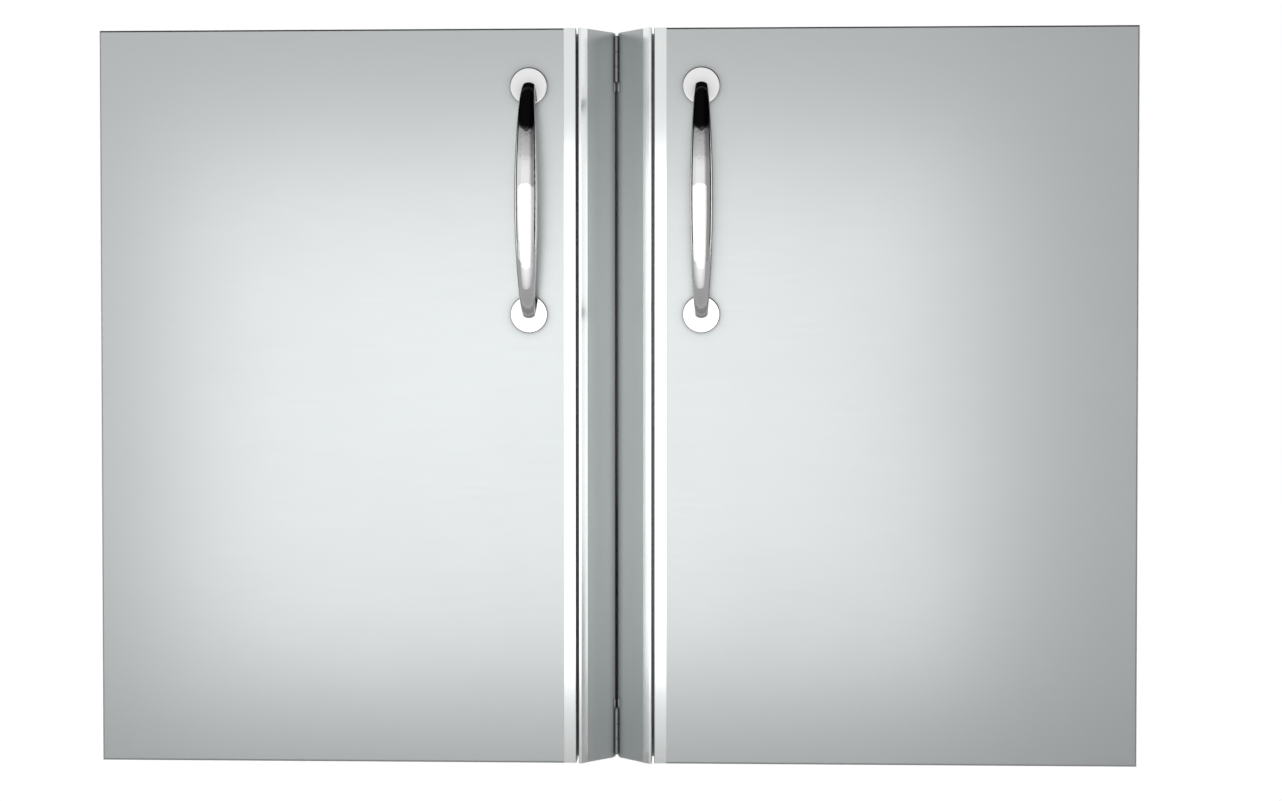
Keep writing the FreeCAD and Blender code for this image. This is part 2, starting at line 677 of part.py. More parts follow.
def corner_hinge_leaves(label, sign, gaps):
    """Wings and knuckles of the two corner hinges on one frame half.

    sign is empty for the right half, and gaps are the stretches of the barrel,
    as pairs of formulas, that belong to the other half.
    """
    body = new_body(label, several=True)
    wing = sketch_on(body, "XY_Plane", "wing", "corner_low")
    rectangle(wing, f"{sign}(slit_x - wing_sheet)", f"{sign}slit_x", "apex_y", "0 - wing_back_gap")
    pad(body, wing, "corner_hinge_length")
    barrel = sketch_on(body, "XY_Plane", "barrel", "corner_low")
    circle(barrel, "0", "apex_y", "corner_knuckle_radius")
    pad(body, barrel, "corner_hinge_length")
    bore = sketch_on(body, "XY_Plane", "bore", "corner_top")
    circle(bore, "0", "apex_y", "corner_pin_radius + pin_play")
    pocket(body, bore, "corner_hinge_length")
    for low, high in gaps:
        gap = sketch_on(body, "XY_Plane", "knuckle_gap", low)
        rectangle(gap, "0 - corner_reach", "corner_reach",
                  "apex_y - corner_reach", "apex_y + corner_reach")
        pocket(body, gap, f"({high}) - ({low})", along=True)
    step_along(body, "corner_spacing", "2", down=True)
    return body


def corner_hinge_pins():
    """Pins of the two corner hinges, headed at both ends."""
    body = new_body("corner_hinge_pins", several=True)
    shaft = sketch_on(body, "XY_Plane", "shaft", "corner_low")
    circle(shaft, "0", "apex_y", "corner_pin_radius")
    pad(body, shaft, "corner_hinge_length")
    for height, back in (("corner_top", False), ("corner_low", True)):
        head = sketch_on(body, "XY_Plane", "head", height)
        circle(head, "0", "apex_y", "corner_pin_head_radius")
        pad(body, head, "corner_pin_head", back=back)
    step_along(body, "corner_spacing", "2", down=True)
    return body


def door_skin():
    """Door's outer pan, folded back on all sides, with a rim round its back.

    Its free edge is set in by a sheet's thickness at front and back, so that the
    polished edge channel lies flush with both faces.
    """
    body = new_body("right_door_skin")
    outside = sketch_on(body, "XY_Plane", "pan_section")
    back_step = "door_back - edge_sheet"
    front_step = "door_front + edge_sheet"
    polygon(outside, (
        ("skin_inner", back_step), ("edge_back_x", back_step), ("edge_back_x", "door_back"),
        ("half_width", "door_back"), ("half_width", "door_front"),
        ("edge_front_x", "door_front"), ("edge_front_x", front_step), ("skin_inner", front_step),
    ))
    pad(body, outside, "unit_height", side="Symmetric")

    def front_bend(edge):
        ends = [vertex.Point for vertex in edge.Vertexes]
        at_front = all(close(end.y, "door_front") for end in ends)
        at_hinge = all(close(end.x, "half_width") for end in ends)
        level = abs(ends[0].z - ends[-1].z) < 1e-4
        at_end = level and close(abs(ends[0].z), "half_height")
        return at_front and (at_hinge or at_end)

    fillet(body, "skin_bend", front_bend)
    inside = sketch_on(body, "XY_Plane", "hollow_section")
    free = "skin_inner + door_sheet"
    back_x = "edge_back_x + door_sheet"
    front_x = "edge_front_x + door_sheet"
    hinge = "half_width - door_sheet"
    polygon(inside, (
        (free, back_step + " - door_sheet"), (back_x, back_step + " - door_sheet"),
        (back_x, "liner_back"), (hinge, "liner_back"), (hinge, "skin_inside"),
        (front_x, "skin_inside"), (front_x, front_step + " + door_sheet"),
        (free, front_step + " + door_sheet"),
    ))
    pocket(body, inside, "unit_height - 2 * door_sheet", side="Symmetric")
    mouth = sketch_on(body, "XZ_Plane", "back_mouth", "0 - door_back - cut_overrun")
    rectangle(mouth, "door_inner + rim_free", "half_width - rim_hinge",
              "0 - (half_height - rim_ends)", "half_height - rim_ends")
    pocket(body, mouth, "cut_overrun + 2 * door_sheet", along=True)
    drill_door(body, "bolt_radius + bolt_play", "skin_inside + door_sheet", "2 * door_sheet + edge_sheet")
    drill_rows(body, "door_back + door_sheet")
    return body


def drill_door(body, radius, start, depth):
    """Two holes for the handle's screws, forwards from the plane start."""
    holes = sketch_on(body, "XZ_Plane", "bolt_holes", f"0 - ({start})")
    for end in ("+", "-"):
        circle(holes, "handle_x", f"handle_middle {end} bolt_spacing / 2", radius)
    pocket(body, holes, depth, along=True)


def drill_rows(body, start):
    """Holes for the hinge's and the strike plates' rivets through the door's back."""
    depth = "3 * door_sheet + liner_sheet"
    row = sketch_on(body, "XZ_Plane", "hinge_rivet_hole", f"0 - ({start})")
    circle(row, "rivet_x", DOOR_RIVET_START, "rivet_hole")
    drilled = pocket(body, row, depth, along=True)
    repeat_feature(body, drilled, "rivet_pitch", "rivet_count - 1")
    plates = sketch_on(body, "XZ_Plane", "strike_rivet_holes", f"0 - ({start})")
    for side in ("", "0 - "):
        for end in ("+", "-"):
            circle(plates, "catch_x", f"{side}(catch_height {end} strike_rivets / 2)", "rivet_hole")
    pocket(body, plates, depth, along=True)


def door_edge_channel():
    """Polished channel that caps the door's free edge, flush with both faces."""
    body = new_body("right_door_edge_channel")
    section = sketch_on(body, "XY_Plane", "channel_section")
    front_inside = "door_front + edge_sheet"
    back_inside = "door_back - edge_sheet"
    polygon(section, (
        ("door_inner", "door_back"), ("door_inner", "door_front"),
        ("edge_front_x", "door_front"), ("edge_front_x", front_inside),
        ("skin_inner", front_inside), ("skin_inner", back_inside),
        ("edge_back_x", back_inside), ("edge_back_x", "door_back"),
    ))
    pad(body, section, "unit_height - 2 * edge_short", side="Symmetric")
    fillet(body, "edge_sheet / 2", upright_at(("door_inner", "door_front"), ("door_inner", "door_back")))
    return body


def door_liner():
    """Inner panel that closes the door's back from inside the rim."""
    body = new_body("right_door_liner")
    outline = sketch_on(body, "XZ_Plane", "panel", "0 - liner_back")
    tall = "half_height - door_sheet - liner_play"
    rectangle(outline, "edge_back_x + door_sheet + liner_play", "half_width - door_sheet - liner_play",
              f"0 - ({tall})", tall)
    pad(body, outline, "liner_sheet")
    drill_rows(body, "liner_back + door_sheet")
    return body


def door_stiffener():
    """Hat-shaped rib between the skin and the inner panel."""
    body = new_body("right_door_stiffener")
    section = sketch_on(body, "XY_Plane", "hat_section")
    middle = "(door_inner + half_width) / 2"
    crown = "rib_width / 2"
    feet = "rib_width / 2 + rib_foot"
    foot_top = "skin_inside + rib_sheet"
    under = "liner_front - rib_sheet"
    polygon(section, (
        (f"{middle} - ({feet})", "skin_inside"), (f"{middle} - ({crown}) + rib_sheet", "skin_inside"),
        (f"{middle} - ({crown}) + rib_sheet", under), (f"{middle} + ({crown}) - rib_sheet", under),
        (f"{middle} + ({crown}) - rib_sheet", "skin_inside"), (f"{middle} + ({feet})", "skin_inside"),
        (f"{middle} + ({feet})", foot_top), (f"{middle} + ({crown})", foot_top),
        (f"{middle} + ({crown})", "liner_front"), (f"{middle} - ({crown})", "liner_front"),
        (f"{middle} - ({crown})", foot_top), (f"{middle} - ({feet})", foot_top),
    ))
    pad(body, section, "unit_height - 2 * (door_sheet + rib_end_gap)", side="Symmetric")
    return body


def handle_backing():
    """Plate inside the door that spreads the handle's pull."""
    body = new_body("right_handle_backing")
    plate = sketch_on(body, "XZ_Plane", "plate", "0 - skin_inside - backing_sheet")
    tall = "bolt_spacing / 2 + backing_end"
    rectangle(plate, "handle_x - backing_width / 2", "handle_x + backing_width / 2",
              f"handle_middle - ({tall})", f"handle_middle + ({tall})")
    pad(body, plate, "backing_sheet")
    drill_door(body, "bolt_radius + bolt_play", "skin_inside + backing_sheet + cut_overrun",
               "backing_sheet + 2 * cut_overrun")
    return body


def handle_rosettes():
    """Flat round plates under the handle's feet."""
    body = new_body("right_handle_rosettes", several=True)
    disc = sketch_on(body, "XZ_Plane", "disc", "0 - door_front")
    circle(disc, "handle_x", "handle_middle + handle_centres / 2", "rosette_radius")
    pad(body, disc, "rosette_thickness")

    def front_rim(edge):
        return len(edge.Vertexes) == 1 and close(edge.Vertexes[0].Point.y, "rosette_front")

    fillet(body, "rosette_edge", front_rim)
    step_along(body, "handle_centres", "2", down=True)
    drill_door(body, "bolt_radius + bolt_play", "door_front + cut_overrun",
               "rosette_thickness + 2 * cut_overrun")
    return body


def handle_screws():
    """Screws from the backing plate through skin and rosette into the feet."""
    body = new_body("right_handle_screws", several=True)
    seat = "skin_inside + backing_sheet"
    height = "handle_middle + bolt_spacing / 2"
    shank = sketch_on(body, "XZ_Plane", "shank", f"0 - ({seat})")
    circle(shank, "handle_x", height, "bolt_radius - rivet_play")
    pad(body, shank, f"({seat}) - rosette_front + bolt_depth")
    head = sketch_on(body, "XZ_Plane", "head", f"0 - ({seat})")
    circle(head, "handle_x", height, "bolt_head_radius")
    pad(body, head, "bolt_head", back=True)
    step_along(body, "bolt_spacing", "2", down=True)
    return body


def handle_station(body, name, turn, rise, run):
    """One oval section of the handle, square to its line.

    turn is the line's angle from upright, rise its height above the rosettes and
    run its distance from the handle's middle.
    """
    section = body.newObject("Sketcher::SketchObject", name)
    section.AttachmentSupport = (origin_part(body, "XY_Plane"), "")
    section.MapMode = "FlatFace"
    section.AttachmentOffset = FreeCAD.Placement(
        FreeCAD.Vector(0, 0, 0), FreeCAD.Rotation(FreeCAD.Vector(1, 0, 0), 10))
    section.setExpression("AttachmentOffset.Base.x", bound("handle_x"))
    section.setExpression("AttachmentOffset.Base.y", bound(f"rosette_front - ({rise})"))
    section.setExpression("AttachmentOffset.Base.z", bound(f"handle_middle + ({run})"))
    section.setExpression("AttachmentOffset.Rotation.Angle", bound(f"0 deg - ({turn})"))
    fullness = f"(1 - (({run}) / foot_centre) ^ 2)"
    across = f"((foot_width + (handle_width - foot_width) * {fullness}) / 2)"
    deep = f"((foot_thickness + (handle_thickness - foot_thickness) * {fullness}) / 2)"
    four_centre_oval(section, across, deep)
    return section


def four_centre_oval(section, across, deep):
    """Closed line of two wide arcs in front and behind and two tight ones at the sides.

    across and deep are half the oval's width and half its thickness.
    """
    side = f"(side_roundness * {deep})"
    reach = f"({across} - {side})"
    crown = f"(({reach} ^ 2 + {deep} ^ 2 - {side} ^ 2) / (2 * ({deep} - {side})))"
    joint_x = f"({crown} * {reach} / ({crown} - {side}))"
    joint_y = f"({side} * ({crown} - {deep}) / ({crown} - {side}))"
    sink = f"({crown} - {deep})"
    lean = math.atan2(number(sink), number(reach))
    arcs = []
    for centre_x, centre_y, radius, middle, half in (
            ("0", f"0 - {sink}", crown, math.pi / 2, math.pi / 2 - lean),
            (f"0 - {reach}", "0", side, math.pi, lean),
            ("0", sink, crown, -math.pi / 2, math.pi / 2 - lean),
            (reach, "0", side, 0.0, lean)):
        centre = FreeCAD.Vector(number(centre_x), number(centre_y), 0)
        circle_line = Part.Circle(centre, FreeCAD.Vector(0, 0, 1), number(radius))
        arcs.append(section.addGeometry(Part.ArcOfCircle(circle_line, middle - half, middle + half), False))
    front, left, back, right = arcs
    for arc, after in ((front, left), (left, back), (back, right), (right, front)):
        section.addConstraint(Sketcher.Constraint("Coincident", arc, END, after, START))
    signs = (("", ""), ("0 - ", ""), ("0 - ", "0 - "), ("", "0 - "))
    for arc, (sign_x, sign_y) in zip(arcs, signs):
        place_point(section, arc, START, sign_x + joint_x, "DistanceX")
        place_point(section, arc, START, sign_y + joint_y, "DistanceY")
    place_point(section, front, CENTRE, f"0 - {sink}", "DistanceY")
    place_point(section, back, CENTRE, sink, "DistanceY")
    place_point(section, left, CENTRE, f"0 - {reach}", "DistanceX")
    place_point(section, right, CENTRE, reach, "DistanceX")


def handle_line():
    """Stations along the handle's line: a long flat bow and a tighter arc to each foot.

    Both arcs share a tangent at the angle bow_turn. The line goes on straight
    past the rosette, where it is cut off flush.
    """
    upper = []
    for share in (1 / 3, 2 / 3):
        turn = f"{share} * bow_turn"
        upper.append((turn, f"bow_rise - bow_radius * (1 - cos({turn}))", f"bow_radius * sin({turn})"))
    for share in (0, 1 / 3, 2 / 3, 1):
        turn = f"(bow_turn + {share} * (foot_angle * 1 deg - bow_turn))"
        rise = f"bow_rise - bow_drop - foot_radius * (1 - cos({turn}))"
        upper.append((turn, rise, f"bow_run + foot_radius * sin({turn})"))
    upper.append(("foot_angle * 1 deg", "0 - foot_sink * sin(foot_angle)",
                  "foot_centre + foot_sink * cos(foot_angle)"))
    lower = [(f"0 deg - ({turn})", rise, f"0 - ({run})") for turn, rise, run in reversed(upper)]
    return lower + [("0 deg", "bow_rise", "0")] + upper


def handle():
    """Bowed handle of one oval section that swells from its feet to its middle."""
    body = new_body("right_handle")
    stations = [handle_station(body, "oval", *station) for station in handle_line()]
    doc.recompute()
    loft = body.newObject("PartDesign::AdditiveLoft", "bow")
    loft.Profile = stations[0]
    loft.Sections = stations[1:]
    loft.Ruled = False
    doc.recompute()
    foot_cut = sketch_on(body, "XZ_Plane", "foot_cut", "0 - rosette_front")
    tall = "handle_centres"
    rectangle(foot_cut, "handle_x - handle_width", "handle_x + handle_width",
              f"handle_middle - {tall}", f"handle_middle + {tall}")
    pocket(body, foot_cut, "2 * foot_sink + foot_thickness")
    drill_door(body, "bolt_radius", "rosette_front", "bolt_depth + bolt_play")
    return body


def strike_plates():
    """Steel plates on the door's back that meet the magnets."""
    body = new_body("right_strike_plates", several=True)
    plate = sketch_on(body, "XZ_Plane", "plate", "0 - door_back")
    rectangle(plate, "catch_x - strike_width / 2", "catch_x + strike_width / 2",
              "catch_height - strike_length / 2", "catch_height + strike_length / 2")
    pad(body, plate, "strike_sheet", back=True)

    def plate_corner(edge):
        ends = [vertex.Point for vertex in edge.Vertexes]
        return abs(abs(ends[0].y - ends[-1].y) - number("strike_sheet")) < 1e-4

    fillet(body, "strike_edge", plate_corner)
    holes = sketch_on(body, "XZ_Plane", "rivet_holes", "0 - strike_front")
    for end in ("+", "-"):
        circle(holes, "catch_x", f"catch_height {end} strike_rivets / 2", "rivet_hole")
    pocket(body, holes, "2 * strike_sheet", along=True)
    step_along(body, "2 * catch_height", "2", down=True)
    return body


FRAME_RIVET_START = "0 - (rivet_count - 1) / 2 * rivet_pitch"
DOOR_RIVET_START = "0 - (rivet_count - 2) / 2 * rivet_pitch"


def right_half():
    """Every piece of the right half that the left half mirrors."""
    made = [outer_stile()]
    rail = top_rail()
    made += [rail, mirrored(rail, "right_bottom_rail", normal=(0, 0, 1))]
    made += [corner_post(), post_end_caps(), nose_trim()]
    made.append(hinge_leaf(
        "right_hinge_frame_leaf", "flange_front", "flange_front - leaf_sheet",
        "1", "floor(knuckle_count / 2)", "rivet_count", FRAME_RIVET_START))
    made.append(hinge_leaf(
        "right_hinge_door_leaf", "door_back + leaf_sheet", "door_back",
        "0", "ceil(knuckle_count / 2)", "rivet_count - 1", DOOR_RIVET_START))
    made.append(hinge_pin())
    made.append(rivet_row(
        "right_hinge_frame_rivets", "rivet_x", FRAME_RIVET_START, ("rivet_pitch",), ("rivet_count",),
        "flange_front - leaf_sheet", -1, "0"))
    made.append(rivet_row(
        "right_hinge_door_rivets", "rivet_x", DOOR_RIVET_START, ("rivet_pitch",), ("rivet_count - 1",),
        "door_back + leaf_sheet", 1, "liner_front", tail="liner_front"))
    made += [catch_housings(), catch_magnets(), catch_screws(), door_bumpers()]
    made += [door_skin(), door_edge_channel(), door_liner(), door_stiffener()]
    made += [handle_backing(), handle(), handle_rosettes(), handle_screws()]
    made.append(strike_plates())
    made.append(rivet_row(
        "right_strike_rivets", "catch_x", "0 - catch_height - strike_rivets / 2",
        ("strike_rivets", "2 * catch_height"), ("2", "2"),
        "strike_front", 1, "liner_front", tail="liner_front"))
    return made


def check_and_write():
    """Stop on any failed object, then write each piece under its own name."""
    doc.recompute()
    for item in doc.Objects:
        if "Invalid" in item.State or "Error" in item.State:
            raise RuntimeError(f"{item.Label} failed: {item.State}")
    os.makedirs("parts", exist_ok=True)
    for piece in pieces:
        shape = piece.Shape
        if shape.isNull() or not shape.isValid() or not shape.Solids:
            raise RuntimeError(f"{piece.Label} has no valid solid")
        shape.exportStep(f"parts/{piece.Label}.step")
        print(f"{piece.Label}: {len(shape.Solids)} solids, {shape.Volume:.0f} mm3")


for piece in right_half():
    mirrored(piece, piece.Label.replace("right_", "left_", 1))

middle_low = "corner_low + corner_third"
middle_high = "corner_top - corner_third"
corner_hinge_leaves("right_corner_hinge_leaves", "", (
    ("corner_low - cut_overrun", middle_low + " + hinge_clearance / 2"),
    (middle_high + " - hinge_clearance / 2", "corner_top + cut_overrun"),
))
corner_hinge_leaves("left_corner_hinge_leaves", "0 - ", (
    (middle_low + " - hinge_clearance / 2", middle_high + " + hinge_clearance / 2"),
))
corner_hinge_pins()
check_and_write()
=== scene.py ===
"""Looks of the corner access door: finishes, small fittings, studio and camera.

Lengths are in metres in the CAD model's frame: X to the right, Y into the island
and Z up. The doors face the camera along -Y.
"""

import logging
import math
from dataclasses import dataclass, field
from enum import Enum
from typing import Sequence

import bmesh
import bpy
from mathutils import Euler, Matrix, Vector

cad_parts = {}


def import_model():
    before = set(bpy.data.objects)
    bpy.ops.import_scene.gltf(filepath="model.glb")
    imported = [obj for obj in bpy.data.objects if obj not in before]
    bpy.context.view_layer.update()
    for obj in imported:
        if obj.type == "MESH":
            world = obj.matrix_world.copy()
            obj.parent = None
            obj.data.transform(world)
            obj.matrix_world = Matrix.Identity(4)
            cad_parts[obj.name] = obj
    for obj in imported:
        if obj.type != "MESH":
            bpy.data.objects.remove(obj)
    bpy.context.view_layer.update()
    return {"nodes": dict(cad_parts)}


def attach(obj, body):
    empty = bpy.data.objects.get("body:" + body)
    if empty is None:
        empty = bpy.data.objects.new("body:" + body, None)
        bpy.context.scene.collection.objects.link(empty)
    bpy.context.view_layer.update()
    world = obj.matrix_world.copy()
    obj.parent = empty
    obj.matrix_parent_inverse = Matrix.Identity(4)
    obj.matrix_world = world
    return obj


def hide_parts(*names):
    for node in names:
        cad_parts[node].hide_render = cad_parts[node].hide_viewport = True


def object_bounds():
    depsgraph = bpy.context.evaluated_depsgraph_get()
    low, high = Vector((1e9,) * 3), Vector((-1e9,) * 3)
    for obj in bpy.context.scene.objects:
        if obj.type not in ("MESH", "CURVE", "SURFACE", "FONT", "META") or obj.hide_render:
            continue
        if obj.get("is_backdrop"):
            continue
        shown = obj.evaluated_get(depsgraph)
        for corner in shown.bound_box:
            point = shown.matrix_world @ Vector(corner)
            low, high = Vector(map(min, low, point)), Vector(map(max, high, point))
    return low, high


LOG = logging.getLogger("corner_access_door")
MM = 0.001
SAME_PLACE = 0.001 * MM
WHITE = (1.0, 1.0, 1.0, 1.0)
Colour = tuple[float, float, float]
Corner = tuple[float, float]


class Side(Enum):
    """The two mirrored halves of the unit, by the sign of X."""

    LEFT = -1
    RIGHT = 1

    @property
    def word(self) -> str:
        """The side's name as the CAD nodes spell it."""
        return self.name.lower()


class Grain(Enum):
    """Which way a sheet was brushed."""

    ALONG_WIDTH = 0
    ALONG_DEPTH = 1
    ALONG_HEIGHT = 2


class NodeBoard:
    """A material's node tree with short ways to add and join nodes.

    A mix node of colours has its two colours and its result at the places in MIX_IN
    and MIX_OUT.
    """

    # The next three lines set painted shade: an occlusion node darkens the base colour of metals in
    # narrow gaps. They give its reach, its strength and its samples.
    GAP_WIDTH = 8 * MM
    GAP_PAINTED_SHADE = 0.85
    GAP_SAMPLES = 6
    EDGE_SAMPLES = 4
    MIX_IN = (6, 7)
    MIX_OUT = 2
    TEXTURE_RANGE = (0.3, 0.7)

    def __init__(self, name: str) -> None:
        """Start an empty material with a shader and an output.

        Args:
            name: The material's name.
        """
        self.material = bpy.data.materials.new(name)
        self.material.use_nodes = True
        self.tree = self.material.node_tree
        self.tree.nodes.clear()
        self.shader = self.add("ShaderNodeBsdfPrincipled")
        output = self.add("ShaderNodeOutputMaterial")
        self.join(self.shader, "BSDF", output, "Surface")

    def add(self, kind: str, **settings: object) -> bpy.types.Node:
        """Add a node.

        Args:
            kind: Blender's name of the node type.
            **settings: The node's own properties.

        Returns:
            The new node.
        """
        node = self.tree.nodes.new(kind)
        for name, value in settings.items():
            setattr(node, name, value)
        return node

    def join(self, source: bpy.types.Node, output: str | int,
             target: bpy.types.Node, entry: str | int) -> None:
        """Join one node's output to another node's input.

        Args:
            source: The node that gives the value.
            output: Name or number of its output.
            target: The node that takes the value.
            entry: Name or number of its input.
        """
        self.tree.links.new(source.outputs[output], target.inputs[entry])

    def place(self, stretch: Sequence[float]) -> bpy.types.Node:
        """Object coordinates, stretched per axis.

        Args:
            stretch: Scale of the pattern along X, Y and Z, per metre.

        Returns:
            The mapping node.
        """
        coordinates = self.add("ShaderNodeTexCoord")
        mapping = self.add("ShaderNodeMapping")
        mapping.inputs["Scale"].default_value = stretch
        self.join(coordinates, "Object", mapping, "Vector")
        return mapping

    def noise(self, stretch: Sequence[float], detail: float, rough: float = 0.5) -> bpy.types.Node:
        """Noise on object coordinates.

        Args:
            stretch: Scale of the pattern along X, Y and Z, per metre.
            detail: Number of finer octaves.
            rough: Weight of the finer octaves.

        Returns:
            The noise node.
        """
        texture = self.add("ShaderNodeTexNoise")
        texture.inputs["Scale"].default_value = 1.0
        texture.inputs["Detail"].default_value = detail
        texture.inputs["Roughness"].default_value = rough
        self.join(self.place(stretch), "Vector", texture, "Vector")
        return texture

    def spread(self, source: bpy.types.Node, output: str, low: float, high: float) -> bpy.types.Node:
        """Map the range that a texture mostly keeps to onto another range.

        Args:
            source: The texture.
            output: The texture's output.
            low: Value at the low end.
            high: Value at the high end.

        Returns:
            The map range node.
        """
        span = self.add("ShaderNodeMapRange")
        span.inputs["From Min"].default_value = self.TEXTURE_RANGE[0]
        span.inputs["From Max"].default_value = self.TEXTURE_RANGE[1]
        span.inputs["To Min"].default_value = low
        span.inputs["To Max"].default_value = high
        self.join(source, output, span, "Value")
        return span

    def total(self, first: bpy.types.Node, second: bpy.types.Node) -> bpy.types.Node:
        """Add the first outputs of two nodes.

        Args:
            first: One node.
            second: The other node.

        Returns:
            The math node.
        """
        adder = self.add("ShaderNodeMath", operation="ADD")
        self.tree.links.new(first.outputs[0], adder.inputs[0])
        self.tree.links.new(second.outputs[0], adder.inputs[1])
        return adder

    def tint(self, source: bpy.types.Node, dark: Colour, light: Colour) -> bpy.types.Node:
        """Blend two colours by a texture.

        Args:
            source: The texture, whose first output is the share of the light colour.
            dark: One colour.
            light: The other colour.

        Returns:
            The mix node.
        """
        mix = self.add("ShaderNodeMix", data_type="RGBA")
        mix.inputs[self.MIX_IN[0]].default_value = (*dark, 1.0)
        mix.inputs[self.MIX_IN[1]].default_value = (*light, 1.0)
        self.tree.links.new(source.outputs[0], mix.inputs[0])
        return mix

    def metal_colour(self, source: bpy.types.Node, colour: Colour, mottle: float) -> None:
        """Give the shader a mottled colour, with painted shade that darkens it in narrow gaps.

        Args:
            source: The texture of the mottle.
            colour: The metal's colour before the mottle and the painted shade.
            mottle: How far the mottle darkens it, as a share.
        """
        dark = tuple(channel * (1 - mottle) for channel in colour)
        clean = self.tint(source, dark, colour)
        # Painted shade: ambient occlusion darkens the base colour in narrow gaps and crevices.
        gap = self.add("ShaderNodeAmbientOcclusion", samples=self.GAP_SAMPLES)
        gap.inputs["Distance"].default_value = self.GAP_WIDTH
        painted_shade = self.add("ShaderNodeMix", data_type="RGBA", blend_type="MULTIPLY")
        painted_shade.inputs[0].default_value = self.GAP_PAINTED_SHADE
        self.join(clean, self.MIX_OUT, painted_shade, self.MIX_IN[0])
        self.join(gap, "AO", painted_shade, self.MIX_IN[1])
        self.join(painted_shade, self.MIX_OUT, self.shader, "Base Color")

    def plain_colour(self, source: bpy.types.Node, dark: Colour, light: Colour) -> None:
        """Give the shader two colours, blended by a texture."""
        self.join(self.tint(source, dark, light), self.MIX_OUT, self.shader, "Base Color")

    def shine(self, source: bpy.types.Node, roughness: float, share: float) -> None:
        """Let the shader's roughness vary with a texture, by a share up and down."""
        varied = self.spread(source, "Fac", roughness - share, roughness + share)
        self.join(varied, 0, self.shader, "Roughness")

    def relief(self, source: bpy.types.Node, height: float, edge: float = 0.0) -> None:
        """Give the shader a bump and, with edge, edges that look rounded.

        Args:
            source: The node whose first output is the height.
            height: Height of the relief, in metres.
            edge: Radius of the rounding on sharp edges, in metres.
        """
        bump = self.add("ShaderNodeBump")
        bump.inputs["Strength"].default_value = 1.0
        bump.inputs["Distance"].default_value = height
        self.tree.links.new(source.outputs[0], bump.inputs["Height"])
        if edge > 0.0:
            rounding = self.add("ShaderNodeBevel", samples=self.EDGE_SAMPLES)
            rounding.inputs["Radius"].default_value = edge
            self.join(rounding, "Normal", bump, "Normal")
        self.join(bump, "Normal", self.shader, "Normal")

    def set(self, **values: object) -> None:
        """Set the shader's own sockets, with spaces written as underscores."""
        for name, value in values.items():
            self.shader.inputs[name.replace("_", " ")].default_value = value


@dataclass(frozen=True)
class SatinSteel:
    """Stainless sheet brushed in one direction, with soft clouds from handling."""

    name: str
    colour: Colour
    roughness: float
    grain: Grain = Grain.ALONG_WIDTH
    streak_width: float = 0.35 * MM
    streak_length: float = 38 * MM
    streak_height: float = 0.0003 * MM
    streak_share: float = 0.02
    cloud_size: float = 0.16
    cloud_share: float = 0.012
    mottle: float = 0.025
    edge: float = 0.25 * MM

    def build(self) -> bpy.types.Material:
        """Make the material.

        Returns:
            The material.
        """
        board = NodeBoard(self.name)
        stretch = [1 / self.streak_width] * 3
        stretch[self.grain.value] = 1 / self.streak_length
        streaks = board.noise(stretch, detail=2.0)
        clouds = board.noise([1 / self.cloud_size] * 3, detail=3.0)
        fine = board.spread(streaks, "Fac", -self.streak_share, self.streak_share)
        smooth, rough = self.roughness - self.cloud_share, self.roughness + self.cloud_share
        broad = board.spread(clouds, "Fac", smooth, rough)
        board.join(board.total(fine, broad), 0, board.shader, "Roughness")
        # Mottled colour, with painted shade in narrow gaps.
        board.metal_colour(clouds, self.colour, self.mottle)
        board.relief(streaks, self.streak_height, self.edge)
        board.set(Metallic=1.0)
        return board.material


@dataclass(frozen=True)
class PolishedSteel:
    """Buffed bright metal with faint wipe marks."""

    name: str
    colour: Colour
    roughness: float = 0.05
    wipe_width: float = 9 * MM
    wipe_length: float = 45 * MM
    wipe_share: float = 0.02
    mottle: float = 0.015
    ripple: float = 0.0006 * MM

    def build(self) -> bpy.types.Material:
        """Make the material.

        Returns:
            The material.
        """
        board = NodeBoard(self.name)
        stretch = [1 / self.wipe_width, 1 / self.wipe_width, 1 / self.wipe_length]
        wipes = board.noise(stretch, detail=4.0, rough=0.6)
        board.shine(wipes, self.roughness, self.wipe_share)
        # Mottled colour, with painted shade in narrow gaps.
        board.metal_colour(wipes, self.colour, self.mottle)
        board.relief(wipes, self.ripple)
        board.set(Metallic=1.0)
        return board.material


@dataclass(frozen=True)
class PlatedSteel:
    """Plated hardware: slightly mottled, with a dull shine."""

    name: str
    colour: Colour
    roughness: float = 0.34
    roughness_share: float = 0.07
    mottle_size: float = 1.6 * MM
    mottle: float = 0.12
    relief: float = 0.004 * MM
    edge: float = 0.12 * MM

    def build(self) -> bpy.types.Material:
        """Make the material.

        Returns:
            The material.
        """
        board = NodeBoard(self.name)
        patches = board.noise([1 / self.mottle_size] * 3, detail=4.0, rough=0.6)
        board.shine(patches, self.roughness, self.roughness_share)
        # Mottled colour, with painted shade in narrow gaps.
        board.metal_colour(patches, self.colour, self.mottle)
        board.relief(patches, self.relief, self.edge)
        board.set(Metallic=1.0)
        return board.material


@dataclass(frozen=True)
class MouldedPlastic:
    """Moulded plastic with a fine spark-eroded texture."""

    name: str
    colour: Colour
    roughness: float = 0.42
    roughness_share: float = 0.05
    pebble_size: float = 0.5 * MM
    pebble_shade: float = 0.94
    relief: float = 0.012 * MM
    edge: float = 0.3 * MM

    def build(self) -> bpy.types.Material:
        """Make the material.

        Returns:
            The material.
        """
        board = NodeBoard(self.name)
        pebble = board.noise([1 / self.pebble_size] * 3, detail=3.0)
        board.shine(pebble, self.roughness, self.roughness_share)
        dark = tuple(channel * self.pebble_shade for channel in self.colour)
        board.plain_colour(pebble, dark, self.colour)
        board.relief(pebble, self.relief, self.edge)
        return board.material


